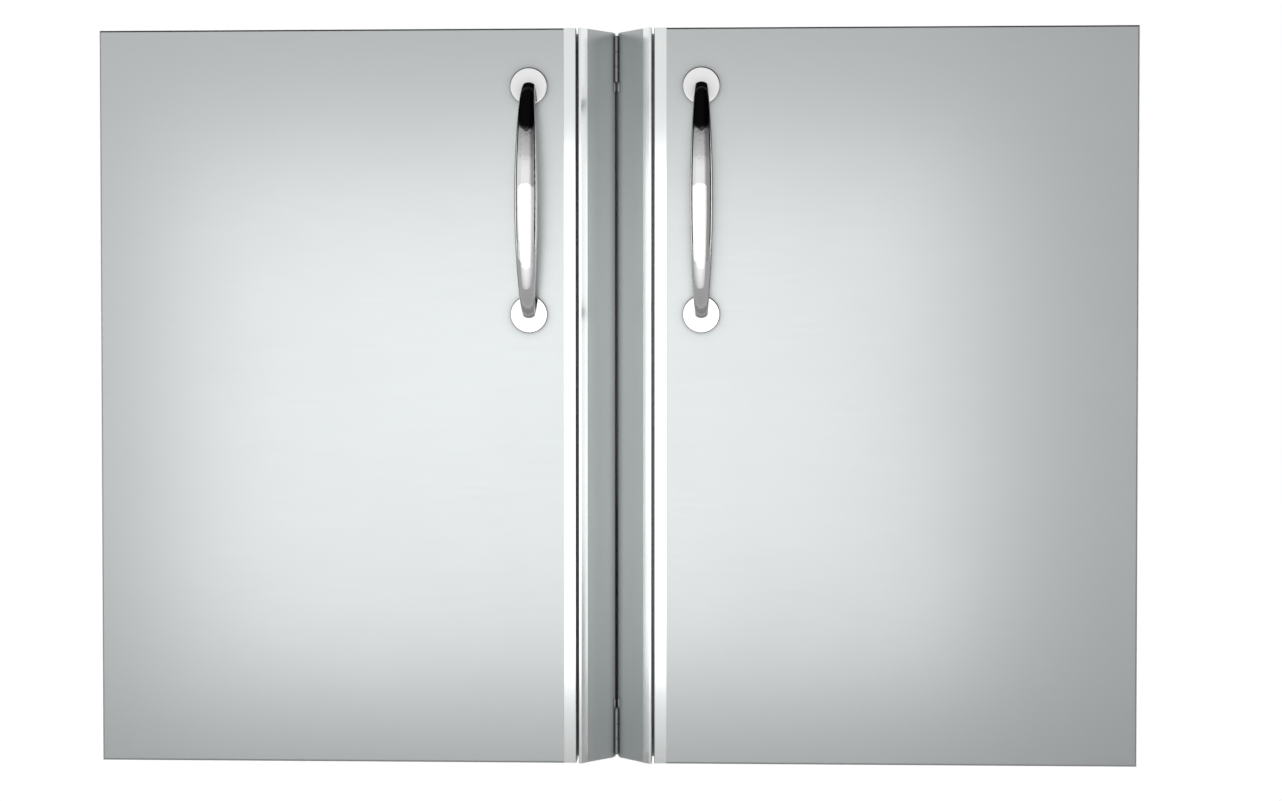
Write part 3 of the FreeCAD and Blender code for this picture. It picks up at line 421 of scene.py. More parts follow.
@dataclass(frozen=True)
class Ferrite:
    """Sintered magnet: nearly black, with a grainy ground face."""

    name: str
    colour: Colour = (0.03, 0.03, 0.033)
    ground: Colour = (0.07, 0.07, 0.075)
    roughness: float = 0.55
    roughness_share: float = 0.1
    grit_size: float = 0.3 * MM
    relief: float = 0.02 * MM
    edge: float = 0.2 * MM

    def build(self) -> bpy.types.Material:
        """Make the material.

        Returns:
            The material.
        """
        board = NodeBoard(self.name)
        grit = board.noise([1 / self.grit_size] * 3, detail=5.0, rough=0.7)
        board.shine(grit, self.roughness, self.roughness_share)
        board.plain_colour(grit, self.colour, self.ground)
        board.relief(grit, self.relief, self.edge)
        return board.material


@dataclass(frozen=True)
class Rubber:
    """Soft black rubber with a dusty bloom."""

    name: str
    colour: Colour = (0.02, 0.02, 0.02)
    dust: Colour = (0.045, 0.045, 0.045)
    roughness: float = 0.71
    roughness_share: float = 0.09
    bloom_size: float = 2.2 * MM
    relief: float = 0.015 * MM

    def build(self) -> bpy.types.Material:
        """Make the material.

        Returns:
            The material.
        """
        board = NodeBoard(self.name)
        bloom = board.noise([1 / self.bloom_size] * 3, detail=4.0, rough=0.6)
        board.shine(bloom, self.roughness, self.roughness_share)
        board.plain_colour(bloom, self.colour, self.dust)
        board.relief(bloom, self.relief)
        return board.material


@dataclass
class Finishes:
    """Every finish of the unit, made once."""

    door: bpy.types.Material = field(init=False)
    frame: bpy.types.Material = field(init=False)
    inner: bpy.types.Material = field(init=False)
    hinge: bpy.types.Material = field(init=False)
    trim: bpy.types.Material = field(init=False)
    handle: bpy.types.Material = field(init=False)
    fastener: bpy.types.Material = field(init=False)
    knuckle: bpy.types.Material = field(init=False)
    catch: bpy.types.Material = field(init=False)
    magnet: bpy.types.Material = field(init=False)
    bumper: bpy.types.Material = field(init=False)

    def __post_init__(self) -> None:
        """Build the materials."""
        up = Grain.ALONG_HEIGHT
        self.door = SatinSteel("door_satin_steel", (0.605, 0.63, 0.633), 0.316).build()
        self.frame = SatinSteel("frame_satin_steel", (0.615, 0.64, 0.642), 0.34, up).build()
        self.inner = SatinSteel("inner_mill_steel", (0.62, 0.63, 0.63), 0.42, up).build()
        self.hinge = SatinSteel("hinge_steel", (0.66, 0.66, 0.67), 0.3, up).build()
        # The corner hinge's leaves and pins use a darker steel. Part of that is dull plain steel, and
        # part is painted shade for the narrow slit they sit in.
        self.knuckle = SatinSteel("dull_hinge_steel_with_painted_shade", (0.42, 0.43, 0.43), 0.45, up).build()
        self.trim = PolishedSteel("polished_trim", (0.86, 0.88, 0.88), 0.15).build()
        self.handle = PolishedSteel("polished_handle", (0.92, 0.92, 0.92), 0.03,
                                    wipe_share=0.01).build()
        self.fastener = PlatedSteel("fastener_steel", (0.62, 0.62, 0.63)).build()
        self.catch = MouldedPlastic("catch_plastic", (0.78, 0.78, 0.75)).build()
        self.magnet = Ferrite("magnet_ferrite").build()
        self.bumper = Rubber("bumper_rubber").build()

    def by_part(self) -> dict[str, bpy.types.Material]:
        """Which CAD pieces have which finish.

        Returns:
            The finish by the node's name without its side.
        """
        worn = (
            (self.frame, "outer_stile top_rail bottom_rail corner_post post_end_caps"),
            (self.door, "door_skin"),
            (self.inner, "door_liner door_stiffener handle_backing strike_plates"),
            (self.hinge, "hinge_frame_leaf hinge_door_leaf hinge_pin"),
            (self.knuckle, "corner_hinge_leaves corner_hinge_pins"),
            (self.trim, "nose_trim door_edge_channel"),
            (self.handle, "handle handle_rosettes"),
            (self.fastener, "hinge_frame_rivets hinge_door_rivets strike_rivets"),
            (self.fastener, "catch_screws handle_screws"),
            (self.catch, "catch_housings"),
            (self.magnet, "catch_magnets"),
            (self.bumper, "door_bumpers"),
        )
        return {part: finish for finish, parts in worn for part in parts.split()}

    def dress_frame(self, nodes: dict[str, bpy.types.Object]) -> None:
        """Give each CAD node its finish.

        Args:
            nodes: The CAD nodes by name.
        """
        finishes = self.by_part()
        for name, node in nodes.items():
            part = name.removeprefix("left_").removeprefix("right_")
            node.data.materials.clear()
            node.data.materials.append(finishes[part])
            LOG.info("dressed %s in %s", name, finishes[part].name)


def turned(section: Sequence[Corner], steps: int) -> bmesh.types.BMesh:
    """Turn half a section round Z into a closed shape, or one open at an end.

    Args:
        section: Radius and height of each corner, in millimetres, from the foot up.
        steps: Number of faces round the shape.

    Returns:
        The shape, in metres.
    """
    shape = bmesh.new()
    corners = [shape.verts.new((radius * MM, 0.0, height * MM)) for radius, height in section]
    edges = [shape.edges.new(pair) for pair in zip(corners, corners[1:])]
    bmesh.ops.spin(shape, geom=corners + edges, cent=(0.0, 0.0, 0.0), axis=(0.0, 0.0, 1.0),
                   angle=2 * math.pi, steps=steps, use_merge=True)
    bmesh.ops.remove_doubles(shape, verts=shape.verts, dist=SAME_PLACE)
    bmesh.ops.recalc_face_normals(shape, faces=shape.faces)
    return shape


def stand(foot: Sequence[float], up: Sequence[float]) -> Matrix:
    """Where a model stands whose own Z points up.

    Args:
        foot: Place of the model's origin, in metres.
        up: Direction of the model's own Z.

    Returns:
        The transform.
    """
    return Matrix.Translation(foot) @ Vector(up).to_track_quat("Z", "Y").to_matrix().to_4x4()


@dataclass
class Fittings:
    """Equal small pieces on one half of the unit, made as one mesh.

    stands_for is the CAD node that they replace, if any, and crease the angle from
    which an edge looks sharp.
    """

    side: Side
    finish: bpy.types.Material
    name: str
    body: str
    slot: str
    stands_for: str = ""
    crease: float = math.radians(38)

    def model(self) -> bmesh.types.BMesh:
        """One piece, before it is moved to its places."""
        raise NotImplementedError

    def places(self) -> list[Matrix]:
        """Where each piece stands."""
        raise NotImplementedError

    def build(self) -> None:
        """Make all the pieces, dress them and let them ride on their body."""
        title = f"{self.side.word}_{self.name}"
        mesh = bpy.data.meshes.new(title)
        self.fill(mesh)
        self.dress(mesh)
        piece = bpy.data.objects.new(title, mesh)
        bpy.context.scene.collection.objects.link(piece)
        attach(piece, f"{self.side.word}_{self.body}")
        if self.stands_for:
            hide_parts(f"{self.side.word}_{self.stands_for}")
        LOG.info("built %s, %d faces", title, len(mesh.polygons))

    def fill(self, mesh: bpy.types.Mesh) -> None:
        """Put a copy of the model at each place.

        Args:
            mesh: The mesh that takes the copies.
        """
        single = bpy.data.meshes.new(self.name + "_single")
        shape = self.model()
        shape.to_mesh(single)
        shape.free()
        whole = bmesh.new()
        for place in self.places():
            copy = single.copy()
            copy.transform(place)
            whole.from_mesh(copy)
            bpy.data.meshes.remove(copy)
        bpy.data.meshes.remove(single)
        bmesh.ops.recalc_face_normals(whole, faces=whole.faces)
        whole.to_mesh(mesh)
        whole.free()

    def dress(self, mesh: bpy.types.Mesh) -> None:
        """Give a mesh its finish, smooth but for its creases.

        Args:
            mesh: The finished mesh.
        """
        mesh.shade_smooth()
        mesh.set_sharp_from_angle(angle=self.crease)
        mesh.materials.append(self.finish)


@dataclass
class BlindRivets(Fittings):
    """A row of blind rivets: domed head, stub of the mandrel and a formed tail."""

    across: float = 0.0
    heights: Sequence[float] = ()
    seat: float = 0.0
    outward: float = -1.0
    grip: float = 2.7
    formed_tail: bool = False
    shank_radius: float = 1.6
    head_radius: float = 3.0
    head_height: float = 0.9
    bore_radius: float = 0.9
    steps: int = 24

    def model(self) -> bmesh.types.BMesh:
        """A rivet whose head sits on its own XY plane.

        Returns:
            The shape, in metres.
        """
        wide, high, bore = self.head_radius, self.head_height, self.bore_radius
        if self.formed_tail:
            tail = [(0.0, -self.grip - high), (0.5 * wide, -self.grip - 0.9 * high),
                    (0.85 * wide, -self.grip - 0.4 * high), (0.9 * wide, -self.grip)]
        else:
            tail = [(0.0, 0.5 - self.grip), (0.5 * bore, 0.5 - self.grip), (0.7 * bore, -self.grip)]
        head = [(wide, 0.0), (wide, 0.15 * high), (0.9 * wide, 0.55 * high), (0.7 * wide, 0.85 * high),
                (0.45 * wide, high), (1.05 * bore, 0.95 * high), (bore, 0.4 * high)]
        mandrel = [(0.65 * bore, 0.4 * high), (0.6 * bore, 0.72 * high), (0.0, 0.78 * high)]
        shank = [(self.shank_radius, -self.grip), (self.shank_radius, 0.0)]
        return turned(tail + shank + head + mandrel, self.steps)

    def places(self) -> list[Matrix]:
        """One place for each height.

        Returns:
            Their transforms.
        """
        across = self.side.value * self.across * MM
        return [stand((across, self.seat * MM, height * MM), (0.0, self.outward, 0.0))
                for height in self.heights]


@dataclass
class CatchScrews(Fittings):
    """Pan-head screws with a cross recess, through the ears of the catches."""

    seat: float = 47.75
    depth: float = 3.9
    catch_height: float = 190.0
    ear_height: float = 27.5
    shank_radius: float = 1.5
    shank_length: float = 7.0
    point: float = 1.2
    head_radius: float = 2.9
    head_height: float = 1.8
    flat_radius: float = 1.75
    arm_width: float = 0.8
    arm_reach: float = 1.3
    recess_depth: float = 1.1
    recess_taper: float = 0.5
    steps: int = 24

    def model(self) -> bmesh.types.BMesh:
        """A screw whose head sits on its own XY plane.

        Returns:
            The shape, in metres.
        """
        wide, high, long = self.head_radius, self.head_height, self.shank_length
        shape = turned([
            (0.0, -long), (0.3 * self.shank_radius, -long), (self.shank_radius, self.point - long),
            (self.shank_radius, 0.0), (wide, 0.0), (wide, 0.4 * high), (0.92 * wide, 0.7 * high),
            (0.78 * wide, 0.92 * high), (self.flat_radius, high)], self.steps)
        rim = [edge for edge in shape.edges if edge.is_boundary]
        cross = self.cross(shape)
        walls = bmesh.ops.extrude_edge_only(shape, edges=cross)
        low = [item for item in walls["geom"] if isinstance(item, bmesh.types.BMVert)]
        bmesh.ops.scale(shape, verts=low, vec=(self.recess_taper, self.recess_taper, 1.0))
        bmesh.ops.translate(shape, verts=low, vec=(0.0, 0.0, -self.recess_depth * MM))
        bmesh.ops.bridge_loops(shape, edges=rim + cross)
        bmesh.ops.holes_fill(shape, edges=shape.edges, sides=len(cross))
        bmesh.ops.recalc_face_normals(shape, faces=shape.faces)
        return shape

    def cross(self, shape: bmesh.types.BMesh) -> list[bmesh.types.BMEdge]:
        """Draw the outline of the recess in the plane of the head's flat.

        Args:
            shape: The screw, which takes the new edges.

        Returns:
            The outline's edges in order.
        """
        half, reach, level = self.arm_width / 2 * MM, self.arm_reach * MM, self.head_height * MM
        quarter = [Vector((half, reach, level)), Vector((-half, reach, level)),
                   Vector((-half, half, level))]
        corners = []
        for turn in range(4):
            spun = Matrix.Rotation(turn * math.pi / 2, 3, "Z")
            corners += [shape.verts.new(spun @ corner) for corner in quarter]
        following = corners[1:] + corners[:1]
        return [shape.edges.new(ends) for ends in zip(corners, following)]

    def places(self) -> list[Matrix]:
        """Two screws for each catch.

        Returns:
            Their transforms.
        """
        outward = self.side.value
        seat, depth = outward * self.seat * MM, self.depth * MM
        return [stand((seat, depth, (catch + ear) * MM), (outward, 0.0, 0.0))
                for catch in (-self.catch_height, self.catch_height)
                for ear in (-self.ear_height, self.ear_height)]


@dataclass
class DoorBumpers(Fittings):
    """Domed rubber bumpers that the closed door rests against."""

    across: float = 35.25
    height: float = 250.0
    seat: float = -1.5
    radius: float = 4.5
    thickness: float = 5.7
    steps: int = 32

    def model(self) -> bmesh.types.BMesh:
        """A bumper that stands on its own XY plane.

        Returns:
            The shape, in metres.
        """
        wide, high = self.radius, self.thickness
        return turned([
            (0.0, 0.0), (0.9 * wide, 0.0), (wide, 0.08 * high), (wide, 0.55 * high),
            (0.96 * wide, 0.72 * high), (0.86 * wide, 0.86 * high), (0.68 * wide, 0.95 * high),
            (0.4 * wide, 0.99 * high), (0.0, high)], self.steps)

    def places(self) -> list[Matrix]:
        """One near each end of the post.

        Returns:
            Their transforms.
        """
        across = self.side.value * self.across * MM
        return [stand((across, self.seat * MM, height * MM), (0.0, -1.0, 0.0))
                for height in (-self.height, self.height)]


@dataclass
class CatchHousings(Fittings):
    """Moulded housings of the magnetic catches, with an ear at each end.

    Edges that turn by more than sharp_angle are rounded by edge, and faces that meet
    at less than flat_angle become one, both in radians. A face points a way when its
    normal's product with that way is above aligned.
    """

    inner_face: float = 44.75
    width: float = 14.0
    front: float = -5.1
    depth: float = 18.0
    length: float = 46.0
    catch_height: float = 190.0
    ear_sheet: float = 3.0
    ear_width: float = 9.0
    ear_length: float = 9.0
    pocket_width: float = 8.2
    pocket_length: float = 36.2
    pocket_depth: float = 9.4
    panel_border: float = 3.0
    panel_depth: float = 0.6
    edge: float = 0.5
    sharp_angle: float = 1.0
    flat_angle: float = 0.01
    aligned: float = 0.9

    def facing(self, shape: bmesh.types.BMesh, direction: Sequence[float]) -> bmesh.types.BMFace:
        """The largest face that points a given way.

        Args:
            shape: The housing.
            direction: A unit vector.

        Returns:
            The face.
        """
        way = Vector(direction)
        faces = [face for face in shape.faces if face.normal.dot(way) > self.aligned]
        return max(faces, key=lambda face: face.calc_area())

    def sink(self, shape: bmesh.types.BMesh, face: bmesh.types.BMFace, move: Vector) -> None:
        """Push a face into the block.

        Args:
            shape: The housing.
            face: The face to push.
            move: How far, in metres.
        """
        pushed = bmesh.ops.extrude_discrete_faces(shape, faces=[face])["faces"][0]
        bmesh.ops.translate(shape, verts=pushed.verts, vec=move)

    def model(self) -> bmesh.types.BMesh:
        """A housing of the right half, in place but for its height.

        Returns:
            The shape, in metres.
        """
        shape = bmesh.new()
        bmesh.ops.create_cube(shape, size=1.0)
        block = Vector((self.width, self.depth, self.length)) * MM
        bmesh.ops.scale(shape, verts=shape.verts, vec=block)
        centre = Vector((self.inner_face + self.width / 2, self.front + self.depth / 2, 0.0)) * MM
        bmesh.ops.translate(shape, verts=shape.verts, vec=centre)
        self.ears(shape, centre.y)
        self.pocket(shape)
        self.panel(shape)
        sharp = [edge for edge in shape.edges if edge.calc_face_angle(0.0) > self.sharp_angle]
        bmesh.ops.bevel(shape, geom=sharp, offset=self.edge * MM, offset_type="OFFSET", affect="EDGES",
                        segments=2, profile=0.5, material=-1, clamp_overlap=True)
        return shape

    def ears(self, shape: bmesh.types.BMesh, middle: float) -> None:
        """Draw an ear out of each end, flush with the post.

        Args:
            shape: The block.
            middle: The block's middle along Y, in metres.
        """
        ear_face = (self.inner_face + self.ear_sheet) * MM
        for side in (-1, 1):
            cut = Vector((0.0, middle + side * self.ear_width / 2 * MM, 0.0))
            self.split(shape, cut, (0.0, 1.0, 0.0))
        self.split(shape, Vector((ear_face, 0.0, 0.0)), (1.0, 0.0, 0.0))
        for up in (-1, 1):
            ends = [face for face in shape.faces if face.normal.z * up > self.aligned]
            root = next(face for face in ends if face.calc_center_median().x < ear_face
                        and abs(face.calc_center_median().y - middle) < self.edge * MM)
            self.sink(shape, root, Vector((0.0, 0.0, up * self.ear_length * MM)))
        bmesh.ops.dissolve_limit(shape, angle_limit=self.flat_angle, verts=shape.verts,
                                 edges=shape.edges)

    def split(self, shape: bmesh.types.BMesh, place: Vector, normal: Sequence[float]) -> None:
        """Cut every face that a plane crosses.

        Args:
            shape: The block.
            place: A point of the plane, in metres.
            normal: The plane's normal.
        """
        whole = shape.verts[:] + shape.edges[:] + shape.faces[:]
        bmesh.ops.bisect_plane(shape, geom=whole, plane_co=place, plane_no=normal)

    def pocket(self, shape: bmesh.types.BMesh) -> None:
        """Sink the magnet's pocket into the front.

        Args:
            shape: The housing.
        """
        front = self.facing(shape, (0.0, -1.0, 0.0))
        border = self.width - self.pocket_width
        bmesh.ops.inset_individual(shape, faces=[front], thickness=border / 2 * MM)
        inset_length = self.length - border
        bmesh.ops.scale(shape, verts=front.verts, vec=(1.0, 1.0, self.pocket_length / inset_length))
        self.sink(shape, front, Vector((0.0, self.pocket_depth * MM, 0.0)))

    def panel(self, shape: bmesh.types.BMesh) -> None:
        """Sink a shallow panel into the side.

        Args:
            shape: The housing.
        """
        side = self.facing(shape, (1.0, 0.0, 0.0))
        bmesh.ops.inset_individual(shape, faces=[side], thickness=self.panel_border * MM)
        self.sink(shape, side, Vector((-self.panel_depth * MM, 0.0, 0.0)))

    def places(self) -> list[Matrix]:
        """One near each end of the post, mirrored on the left.

        Returns:
            Their transforms.
        """
        mirror = Matrix.Diagonal((float(self.side.value), 1.0, 1.0, 1.0))
        return [Matrix.Translation((0.0, 0.0, height * MM)) @ mirror
                for height in (-self.catch_height, self.catch_height)]


@dataclass
class StitchWelds(Fittings):
    """Short rippled beads inside the outer corners of the returns.

    A bead's radius starts at end_share of its full size and follows a sine raised to
    the power fullness. Its rippled body takes up body_share of its length.
    """

    corner_x: float = 353.2
    corner_z: float = 242.2
    stitches: Sequence[float] = (10.0, 28.0, 46.0)
    length: float = 12.0
    radius: float = 1.5
    ripple: float = 0.12
    ripples: int = 8
    end_share: float = 0.35
    fullness: float = 0.35
    body_share: float = 0.98
    steps: int = 10

    def model(self) -> bmesh.types.BMesh:
        """A bead along its own Z, with rounded ends.

        Returns:
            The shape, in metres.
        """
        section = [(0.0, -self.length / 2)]
        for count in range(2 * self.ripples + 1):
            share = count / (2 * self.ripples)
            inside = 0 < share < 1
            swell = math.sin(math.pi * share) ** self.fullness if inside else self.end_share
            radius = self.radius * swell * (1 - self.ripple * (count % 2))
            section.append((radius, (share - 0.5) * self.length * self.body_share))
        section.append((0.0, self.length / 2))
        return turned(section, self.steps)

    def places(self) -> list[Matrix]:
        """Three beads in the upper and three in the lower corner.

        Returns:
            Their transforms.
        """
        across = self.side.value * self.corner_x * MM
        return [stand((across, back * MM, level * self.corner_z * MM), (0.0, 1.0, 0.0))
                for level in (-1, 1) for back in self.stitches]


@dataclass
class SmallParts:
    """The fittings with more detail than in the CAD, and the weld beads.

    Lengths are in millimetres. A line is a row's distance from the unit's middle, a
    face is where the rivets' heads sit, and a grip is the sheet that they hold.
    """

    finishes: Finishes
    rivet_line: float = 366.3
    frame_rivets: Sequence[float] = (-200.0, -100.0, 0.0, 100.0, 200.0)
    frame_leaf_face: float = -2.7
    door_rivets: Sequence[float] = (-150.0, -50.0, 50.0, 150.0)
    door_leaf_face: float = -6.3
    door_leaf_grip: float = 3.4
    strike_line: float = 51.75
    strike_rivets: Sequence[float] = (-218.5, -161.5, 161.5, 218.5)
    strike_face: float = -6.0
    strike_grip: float = 3.7
    housing_crease: float = math.radians(30)

    def build(self) -> None:
        """Make the fittings of both halves."""
        for side in Side:
            for fittings in self.of_side(side):
                fittings.build()

    def of_side(self, side: Side) -> list[Fittings]:
        """The fittings of one half, not yet built.

        Args:
            side: The half.

        Returns:
            The fittings in the order of building.
        """
        metal = self.finishes.fastener
        rubber = self.finishes.bumper
        return [
            BlindRivets(side, metal, "domed_frame_rivets", "frame", "fastener_steel",
                        "hinge_frame_rivets", across=self.rivet_line, heights=self.frame_rivets,
                        seat=self.frame_leaf_face, outward=-1.0),
            BlindRivets(side, metal, "domed_door_rivets", "door", "fastener_steel",
                        "hinge_door_rivets", across=self.rivet_line, heights=self.door_rivets,
                        seat=self.door_leaf_face, outward=1.0, grip=self.door_leaf_grip,
                        formed_tail=True),
            BlindRivets(side, metal, "domed_strike_rivets", "door", "fastener_steel",
                        "strike_rivets", across=self.strike_line, heights=self.strike_rivets,
                        seat=self.strike_face, outward=1.0, grip=self.strike_grip,
                        formed_tail=True),
            CatchScrews(side, metal, "cross_head_screws", "frame", "fastener_steel",
                        "catch_screws"),
            DoorBumpers(side, rubber, "domed_bumpers", "frame", "bumper_rubber", "door_bumpers"),
            CatchHousings(side, self.finishes.catch, "moulded_catches", "frame", "catch_plastic",
                          "catch_housings", crease=self.housing_crease),
            StitchWelds(side, self.finishes.inner, "stitch_welds", "frame", "frame_steel"),
        ]


@dataclass
class PhotoCamera:
    """A camera where the photographer stood.

    focal_pixels is the focal length in pixels of a picture frame_width pixels wide.
    """

    place: Vector = field(default_factory=lambda: Vector((0.0693, -1.4951, 0.0266)))
    turn_left: float = math.radians(1.966)
    look_down: float = math.radians(1.142)
    frame_width: float = 1282.0
    focal_pixels: float = 2000.0
    sensor: float = 36.0

    def build(self) -> None:
        """Make the camera and give it to the scene."""
        data = bpy.data.cameras.new("photo_camera")
        data.sensor_fit = "HORIZONTAL"
        data.sensor_width = self.sensor
        data.lens = self.sensor * self.focal_pixels / self.frame_width
        camera = bpy.data.objects.new("photo_camera", data)
        camera.location = self.place
        camera.rotation_euler = Euler((math.pi / 2 - self.look_down, 0.0, self.turn_left))
        bpy.context.scene.collection.objects.link(camera)
        bpy.context.scene.camera = camera


class WorldBoard:
    """The world's node tree with short ways to shape light by direction."""

    def __init__(self, name: str) -> None:
        """Start an empty world and give it to the scene.

        Args:
            name: The world's name.
        """
        world = bpy.data.worlds.new(name)
        world.use_nodes = True
        bpy.context.scene.world = world
        self.tree = world.node_tree
        self.tree.nodes.clear()
        coordinates = self.tree.nodes.new("ShaderNodeTexCoord")
        parts = self.tree.nodes.new("ShaderNodeSeparateXYZ")
        self.tree.links.new(coordinates.outputs["Generated"], parts.inputs[0])
        self.right, self.back, self.up = (parts.outputs[axis] for axis in "XYZ")

    def band(self, source: bpy.types.NodeSocket, start: tuple[float, float],
             end: tuple[float, float]) -> bpy.types.NodeSocket:
        """A smooth change of level along one component of the direction.

        Args:
            source: The direction's component.
            start: Component and level where the change starts.
            end: Component and level where it ends.

        Returns:
            The level's socket.
        """
        span = self.tree.nodes.new("ShaderNodeMapRange")
        span.interpolation_type = "SMOOTHSTEP"
        span.inputs["From Min"].default_value = start[0]
        span.inputs["From Max"].default_value = end[0]
        span.inputs["To Min"].default_value = start[1]
        span.inputs["To Max"].default_value = end[1]
        self.tree.links.new(source, span.inputs["Value"])
        return span.outputs["Result"]

    def sweep(self, source: bpy.types.NodeSocket,
              stops: Sequence[tuple[float, float]]) -> bpy.types.NodeSocket:
        """A level given at several values of one component, with smooth passages.

        Args:
            source: The direction's component, from -1 to 1.
            stops: Component and level of each stop, in rising order.

        Returns:
            The level's socket.
        """
        curve = self.tree.nodes.new("ShaderNodeFloatCurve")
        points = curve.mapping.curves[0].points
        curve.mapping.use_clip = False
        while len(points) < len(stops):
            points.new(0.0, 0.0)
        for point, (component, level) in zip(points, stops):
            point.location = ((component + 1) / 2, level)
            point.handle_type = "AUTO_CLAMPED"
        curve.mapping.update()
        shift = self.tree.nodes.new("ShaderNodeMapRange")
        shift.inputs["From Min"].default_value = -1.0
        self.tree.links.new(source, shift.inputs["Value"])
        self.tree.links.new(shift.outputs["Result"], curve.inputs["Value"])
        return curve.outputs["Value"]

    def work(self, operation: str, first: bpy.types.NodeSocket,
             second: bpy.types.NodeSocket) -> bpy.types.NodeSocket:
        """Join two values by an operation.

        Args:
            operation: Blender's name of the operation.
            first: One value.
            second: The other value.

        Returns:
            The result's socket.
        """
        node = self.tree.nodes.new("ShaderNodeMath")
        node.operation = operation
        self.tree.links.new(first, node.inputs[0])
        self.tree.links.new(second, node.inputs[1])
        return node.outputs[0]

    def finish(self, light: bpy.types.NodeSocket, white: bpy.types.NodeSocket) -> None:
        """Show the light, or plain white where the second value is one.

        Args:
            light: Strength of the light.
            white: Share of plain white.
        """
        lit = self.tree.nodes.new("ShaderNodeBackground")
        lit.inputs["Color"].default_value = WHITE
        self.tree.links.new(light, lit.inputs["Strength"])
        plain = self.tree.nodes.new("ShaderNodeBackground")
        plain.inputs["Color"].default_value = WHITE
        plain.inputs["Strength"].default_value = 1.0
        mix = self.tree.nodes.new("ShaderNodeMixShader")
        self.tree.links.new(white, mix.inputs[0])
        self.tree.links.new(lit.outputs[0], mix.inputs[1])
        self.tree.links.new(plain.outputs[0], mix.inputs[2])
        output = self.tree.nodes.new("ShaderNodeOutputWorld")
        self.tree.links.new(mix.outputs[0], output.inputs["Surface"])


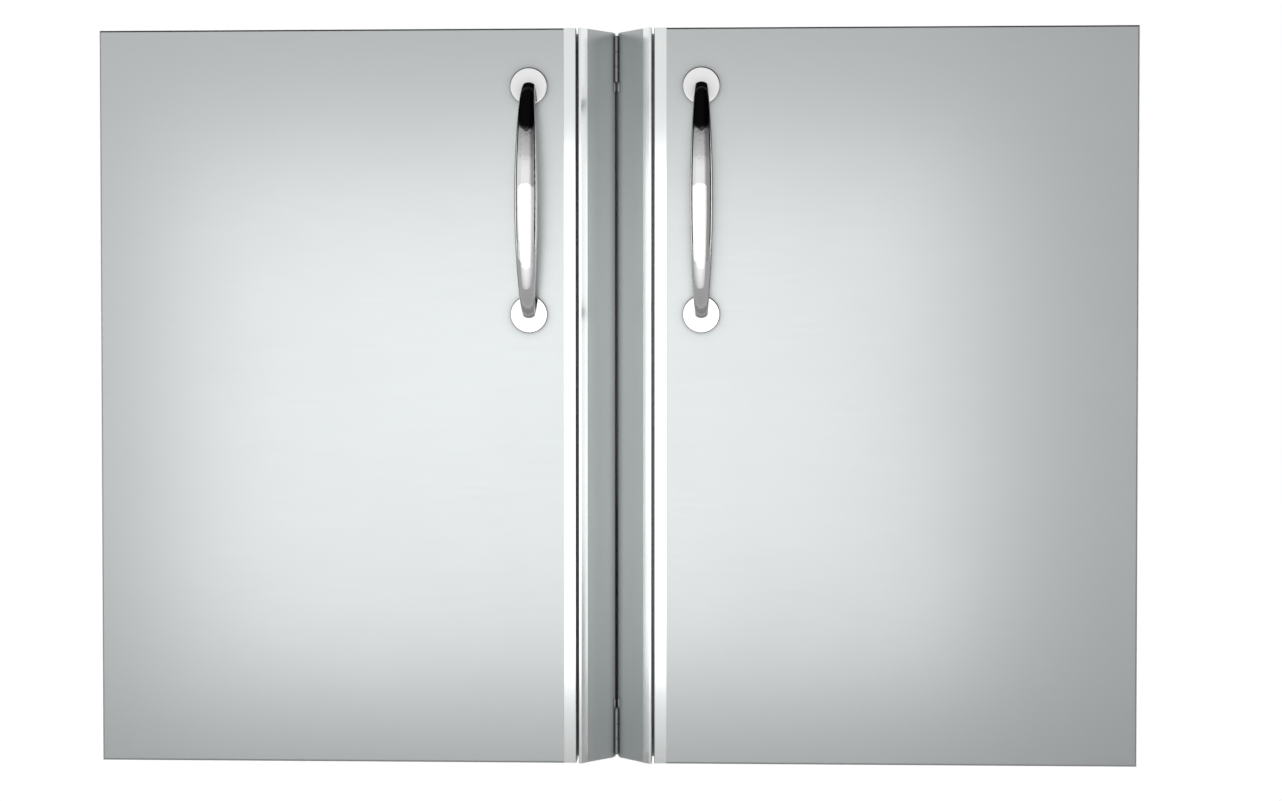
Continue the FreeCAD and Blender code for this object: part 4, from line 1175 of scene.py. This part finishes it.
@dataclass
class Studio:
    """Plain pale floor, a softbox, a soft tent of light and a white surround.

    The tent's level is a product of two curves, tent by the direction's X and rise by
    its Z, each from -1 to 1. Behind the object, toward +Y, the light is even. backdrop
    and rear are where, along the direction's Y, the mirrored white and the even light
    set in. key_radiance is how bright the softbox looks from in front.
    """

    floor_height: float = -0.85
    floor_span: float = 14.0
    floor_front: float = -3.0
    floor_grey: float = 0.9
    floor_roughness: float = 0.8
    floor_glow: float = 0.74
    floor_mirrored: float = 0.12
    key_place: Vector = field(default_factory=lambda: Vector((-0.065, -0.58, -0.03)))
    key_size: tuple[float, float] = (0.80, 0.54)
    key_spread: float = math.radians(90)
    key_radiance: float = 0.865
    key_turn: float = math.radians(-5.5)
    key_tilt: float = math.radians(1.9)
    tent: tuple[tuple[float, float], ...] = (
        (-1.0, 1.0), (-0.965, 1.0), (-0.93, 0.02), (-0.78, 0.02), (-0.72, 0.7), (-0.5, 0.76),
        (-0.32, 0.87), (0.15, 0.85), (0.34, 0.45), (0.5, 0.3), (0.72, 0.3), (0.78, 0.02),
        (0.93, 0.02), (0.965, 1.0), (1.0, 1.0))
    rise: tuple[tuple[float, float], ...] = (
        (-1.0, 0.3), (-0.37, 0.3), (-0.30, 1.02), (0.08, 1.0), (0.24, 1.02), (0.34, 0.70),
        (0.42, 0.40), (0.46, 0.004), (1.0, 0.004))
    backdrop: tuple[float, float] = (0.50, 0.62)
    rear: tuple[float, float] = (0.28, 0.42)
    rear_level: float = 0.85

    def build(self) -> None:
        """Make floor, lamp and world, and set the plain view."""
        self.build_floor()
        self.build_key()
        self.build_world()
        bpy.context.scene.view_settings.view_transform = "Standard"

    def build_floor(self) -> None:
        """A pale floor far below, white to the camera, that still takes a shadow."""
        mesh = bpy.data.meshes.new("studio_floor")
        shape = bmesh.new()
        bmesh.ops.create_grid(shape, x_segments=1, y_segments=1, size=self.floor_span / 2)
        middle = self.floor_front + self.floor_span / 2
        bmesh.ops.translate(shape, verts=shape.verts, vec=(0.0, middle, self.floor_height))
        shape.to_mesh(mesh)
        shape.free()
        mesh.materials.append(self.floor_finish())
        floor = bpy.data.objects.new("studio_floor", mesh)
        bpy.context.scene.collection.objects.link(floor)
        floor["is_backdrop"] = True

    def floor_finish(self) -> bpy.types.Material:
        """Plain matt paint that glows to the camera, and faintly in mirrored rays.

        Returns:
            The material.
        """
        board = NodeBoard("studio_floor")
        path = board.add("ShaderNodeLightPath")
        mirrored = board.add("ShaderNodeMath", operation="MAXIMUM")
        board.join(path, "Is Glossy Ray", mirrored, 0)
        board.join(path, "Is Transmission Ray", mirrored, 1)
        faint = board.add("ShaderNodeMath", operation="MULTIPLY")
        faint.inputs[1].default_value = self.floor_mirrored
        board.join(mirrored, 0, faint, 0)
        glow = board.add("ShaderNodeMath", operation="MULTIPLY_ADD")
        glow.inputs[1].default_value = self.floor_glow
        board.join(path, "Is Camera Ray", glow, 0)
        board.join(faint, 0, glow, 2)
        board.join(glow, 0, board.shader, "Emission Strength")
        paint = (self.floor_grey, self.floor_grey, self.floor_grey, 1.0)
        board.set(Base_Color=paint, Roughness=self.floor_roughness, Emission_Color=WHITE)
        return board.material

    def build_key(self) -> None:
        """A softbox close in front of the doors, a little to the left.

        Its power follows from its area, its radiance and its spread, because a narrower
        spread sends the same power into less room.
        """
        data = bpy.data.lights.new("key_softbox", "AREA")
        data.shape = "RECTANGLE"
        data.size, data.size_y = self.key_size
        data.spread = self.key_spread
        half = self.key_spread / 2
        narrowing = (math.tan(half) - half) / math.tan(half)
        data.energy = self.key_radiance * narrowing * math.pi * self.key_size[0] * self.key_size[1]
        lamp = bpy.data.objects.new("key_softbox", data)
        lamp.location = self.key_place
        lamp.rotation_euler = Euler((math.pi / 2 + self.key_tilt, 0.0, self.key_turn))
        bpy.context.scene.collection.objects.link(lamp)

    def build_world(self) -> None:
        """White to the camera and behind the object, and a lit tent in front."""
        board = WorldBoard("studio")
        tent = board.sweep(board.right, self.tent)
        height = board.sweep(board.up, self.rise)
        front = board.work("MULTIPLY", tent, height)
        rear = board.band(board.back, (self.rear[0], 0.0), (self.rear[1], self.rear_level))
        light = board.work("MAXIMUM", front, rear)
        path = board.tree.nodes.new("ShaderNodeLightPath").outputs
        mirrored = board.work("MAXIMUM", path["Is Glossy Ray"], path["Is Transmission Ray"])
        behind = board.band(board.back, (self.backdrop[0], 0.0), (self.backdrop[1], 1.0))
        low = board.work("MULTIPLY", behind, height)
        mirrored_white = board.work("MULTIPLY", mirrored, low)
        white = board.work("MAXIMUM", path["Is Camera Ray"], mirrored_white)
        board.finish(light, white)


def write_sizes(after: object) -> None:
    """Make a helper that gives bounds as plain numbers; nothing is kept or written.

    Args:
        after: The bounds of the finished model. Not used.
    """
    def plain(bounds: object) -> list[list[float]]:
        """The two corners as plain numbers."""
        return [[float(value) for value in corner] for corner in bounds]


def main() -> None:
    """Build the scene in order."""
    logging.basicConfig(level=logging.INFO, format="%(name)s: %(message)s")
    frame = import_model()
    finishes = Finishes()
    finishes.dress_frame(frame["nodes"])
    SmallParts(finishes).build()
    PhotoCamera().build()
    Studio().build()
    write_sizes(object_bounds())


if __name__ == "__main__":
    main()
